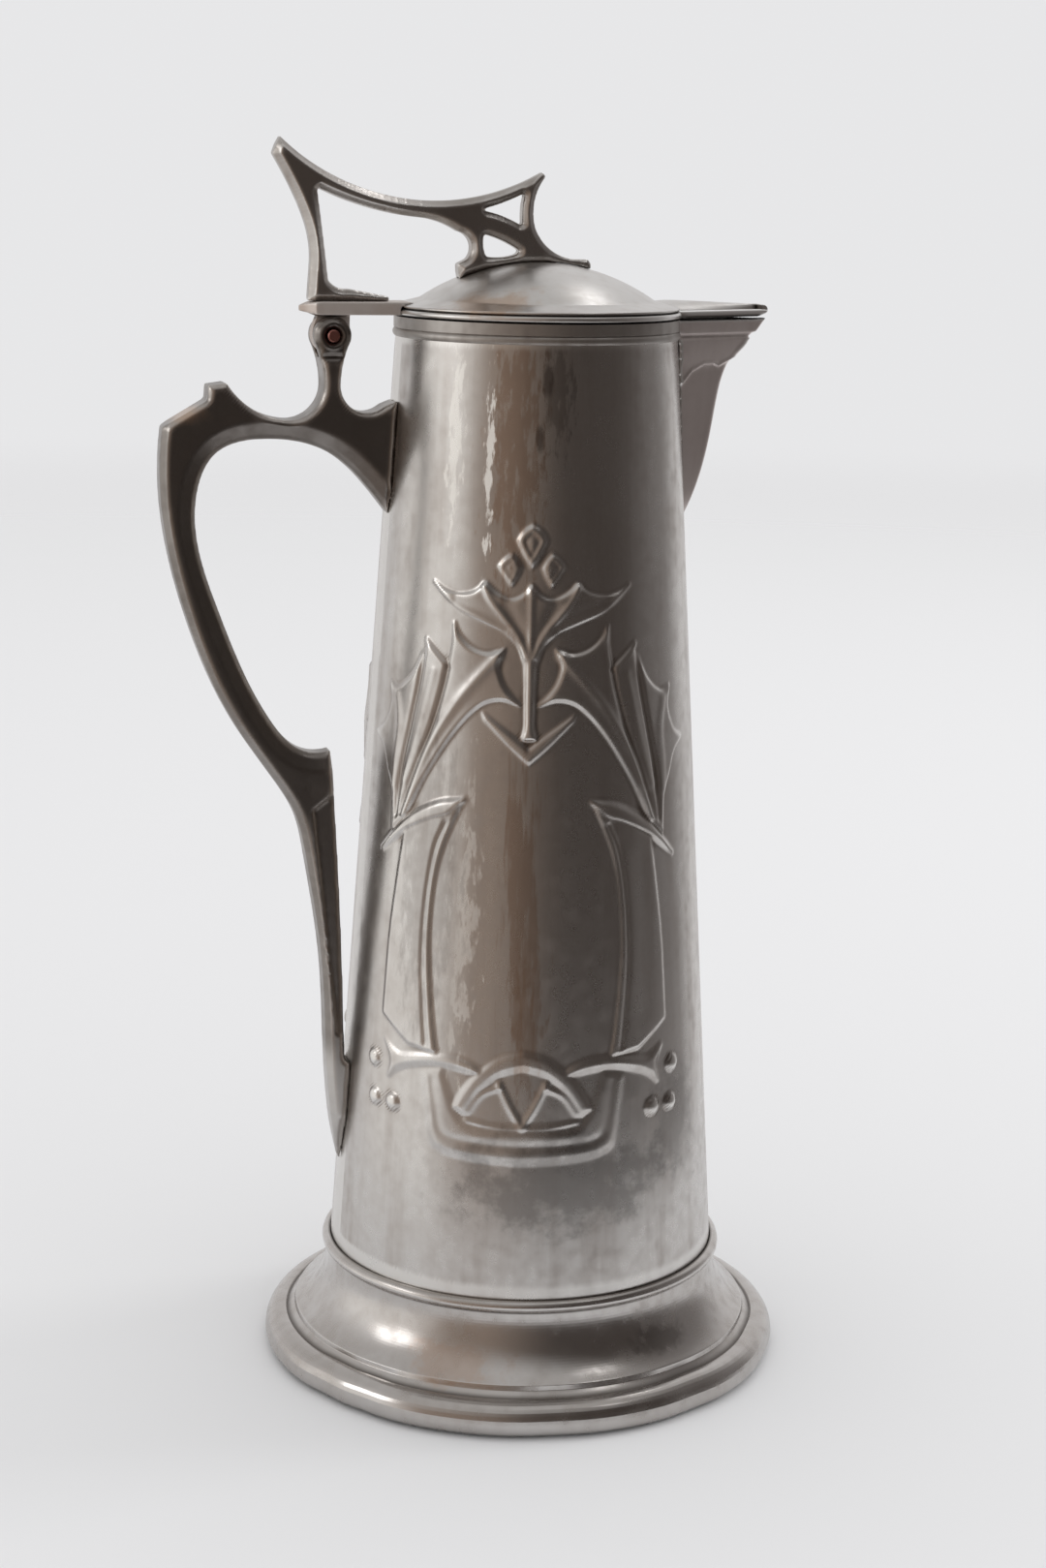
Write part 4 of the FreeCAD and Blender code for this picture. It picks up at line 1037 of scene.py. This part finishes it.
def flap_section(x, half):
    """The flap cut across: a round edge on both sides, a groove inside each, and a crowned plate."""
    at_root = x == FLAP_ROOT
    bead = min(BEAD_RADIUS, BEAD_SHARE * half)
    turns = np.radians(range(-90, 150, 30))
    edge = [(half - bead + bead * math.cos(turn), BEAD_Z + bead * math.sin(turn)) for turn in turns]
    along = soft_step((x - flank_start) / (FLAP_TIP - flank_start))
    crown = CROWN_ROOT + (CROWN_TIP - CROWN_ROOT) * along - ROOT_SINK * at_root
    plate_half = half - GROOVE_IN * bead
    vault = crown * min(1, plate_half / VAULT_FULL)
    across = np.linspace(PLATE_EDGE, -PLATE_EDGE, 11)
    plate = [(share * plate_half, GROOVE_Z + crown * (1 - abs(share) ** 3)) for share in across]
    under_z = GROOVE_Z - FLAP_SHEET
    under = [(-share * plate_half, under_z + vault * (1 - abs(share) ** 3)) for share in across]
    loop = edge + plate + [(-y, z) for y, z in reversed(edge)] + under
    small = min(1, half / NOSE_SOFT)
    lift = TIP_LIFT * max(0, (x - LIFT_START) / (FLAP_TIP - LIFT_START)) ** 2 + ROOT_LIFT * at_root
    return [(x, y, BEAD_Z + lift + small * (z - BEAD_Z)) for y, z in loop]


sections = [flap_section(x, half) for x, half in stations]
around = len(sections[0])
rings = [
    (start + i, start + (i + 1) % around)
    for start in range(0, around * len(sections), around)
    for i in range(around)
]
flap = new_piece("lid_flap", [place for section in sections for place in section], rings)
open_for_edit(flap)
bpy.ops.mesh.bridge_edge_loops()
bpy.ops.mesh.select_all(action="DESELECT")
bpy.ops.mesh.select_mode(type="EDGE")
bpy.ops.mesh.select_non_manifold()
bpy.ops.mesh.fill_holes(sides=0)
close_edit(50)



def flap_painted_light(x, y, z):
    """Painted shadow under the rolled edge and painted shade in the groove; on the edge's top a painted
    highlight that also stands for rubbed polish.
    """
    within = np.interp(x, *np.array(stations).T) - abs(y)
    under_edge = z < BEAD_Z - 0.4 and within < BEAD_RADIUS - 0.2
    in_groove = z > BEAD_Z and EDGE_WIDTH < within < EDGE_WIDTH + 0.7
    if under_edge or in_groove:
        return -MARK_END
    return MARK_END if within < EDGE_WIDTH else 0


# Painted shade and a painted highlight on the lid's rim, by height.
def dome_painted_light(x, y, z):
    on_rim = math.hypot(x, y) > DOME_SHADE_AND_HIGHLIGHTS_FROM
    return on_rim * np.interp(z, *np.array(DOME_SHADE_AND_HIGHLIGHTS).T)


store_painted_light(flap, flap_painted_light)
store_painted_light(lid_dome, dome_painted_light)
lid_pewter = pewter(
    "lid_pewter", metal=(0.64, 0.625, 0.61, 1), dull=(0.46, 0.41, 0.37, 1),
    spread=0.3, drips=0.0, grain=0.03, satin=0.31,
)
# On the lid the marks lay painted highlights on the rolled edges, also standing for their rubbed polish,
# and painted shade under them and in the grooves.
lay_wear_and_painted_light(lid_pewter, (0.93, 0.92, 0.91, 1), (0.05, 0.045, 0.04, 1))
lid_place = add_node(lid_pewter.node_tree, "ShaderNodeTexCoord").outputs["Object"]
# A painted brown reflection on the front left of the dome.
overlay(
    lid_pewter, (0.50, 0.36, 0.26, 1), lid_place, centre=(-0.026, -0.030, 0.325),
    size=(0.020, 0.014, 0.006), stretch=(90, 90, 90), ragged=2.2, strength=0.65,
)
for piece in (lid_dome, flap):
    piece.data.materials.append(lid_pewter)
    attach(piece, "lid")
    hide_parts("lid")

# The hinge strap: a tongue of pewter soldered on the lid's rim, with a thin tail behind the hinge.
# The middle knuckle under it turns on the pin.
STRAP_VOXEL = 0.35
strap = soft_casting("strap_casting", "hinge_strap", STRAP_VOXEL, 3)
STRAP_MIDDLE_Z, STRAP_LOW_Z = 321.6, 319.6
TAIL_END, TAIL_LENGTH, TAIL_THIN = -71.2, 6.0, 0.6
PIN_X, PIN_Z = -62.0, 314.0
KNUCKLE_REACH, KNUCKLE_FREE = 5.7, 0.93
for vertex in strap.data.vertices:
    x, y, z = vertex.co / MM
    if z > STRAP_LOW_Z:
        tail = max(0, 1 - (x - TAIL_END) / TAIL_LENGTH)
        vertex.co.z -= (z - STRAP_MIDDLE_Z) * MM * TAIL_THIN * tail**1.5
    else:
        vertex.co.y *= KNUCKLE_FREE
        reach = math.hypot(x - PIN_X, z - PIN_Z)
        if x < PIN_X and reach > KNUCKLE_REACH:
            vertex.co.x += (PIN_X - x) * (1 - KNUCKLE_REACH / reach) * MM
mark_edges(strap, STRAP_VOXEL)
strap_pewter = pewter(
    "strap_pewter", metal=(0.54, 0.48, 0.44, 1), dull=(0.36, 0.28, 0.235, 1),
    spread=0.7, drips=0.0, grain=0.08, satin=0.34, bare=0.62,
)
lay_wear_and_painted_light(strap_pewter, (0.62, 0.58, 0.55, 1), (0.16, 0.13, 0.11, 1))
strap.data.materials.append(strap_pewter)
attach(strap, "lid")
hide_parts("hinge_strap")

# The thumb lever: an openwork pewter casting with filed slopes, rubbed bright on its edges.
# It is soldered on the strap and the dome, and the thumb presses its tip.
LEVER_VOXEL = 0.4
lever = soft_casting("lever_casting", "thumb_lever", LEVER_VOXEL, 3)
file_slopes(lever, 1.7, 0.42)
mark_edges(lever, LEVER_VOXEL)
lever_pewter = pewter(
    "lever_pewter", metal=(0.50, 0.475, 0.455, 1), dull=(0.29, 0.255, 0.23, 1),
    spread=0.5, drips=0.1, grain=0.1, satin=0.26,
)
lay_wear_and_painted_light(lever_pewter, (0.66, 0.64, 0.62, 1), (0.16, 0.14, 0.125, 1))
lever.data.materials.append(lever_pewter)
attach(lever, "lid")
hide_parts("thumb_lever")
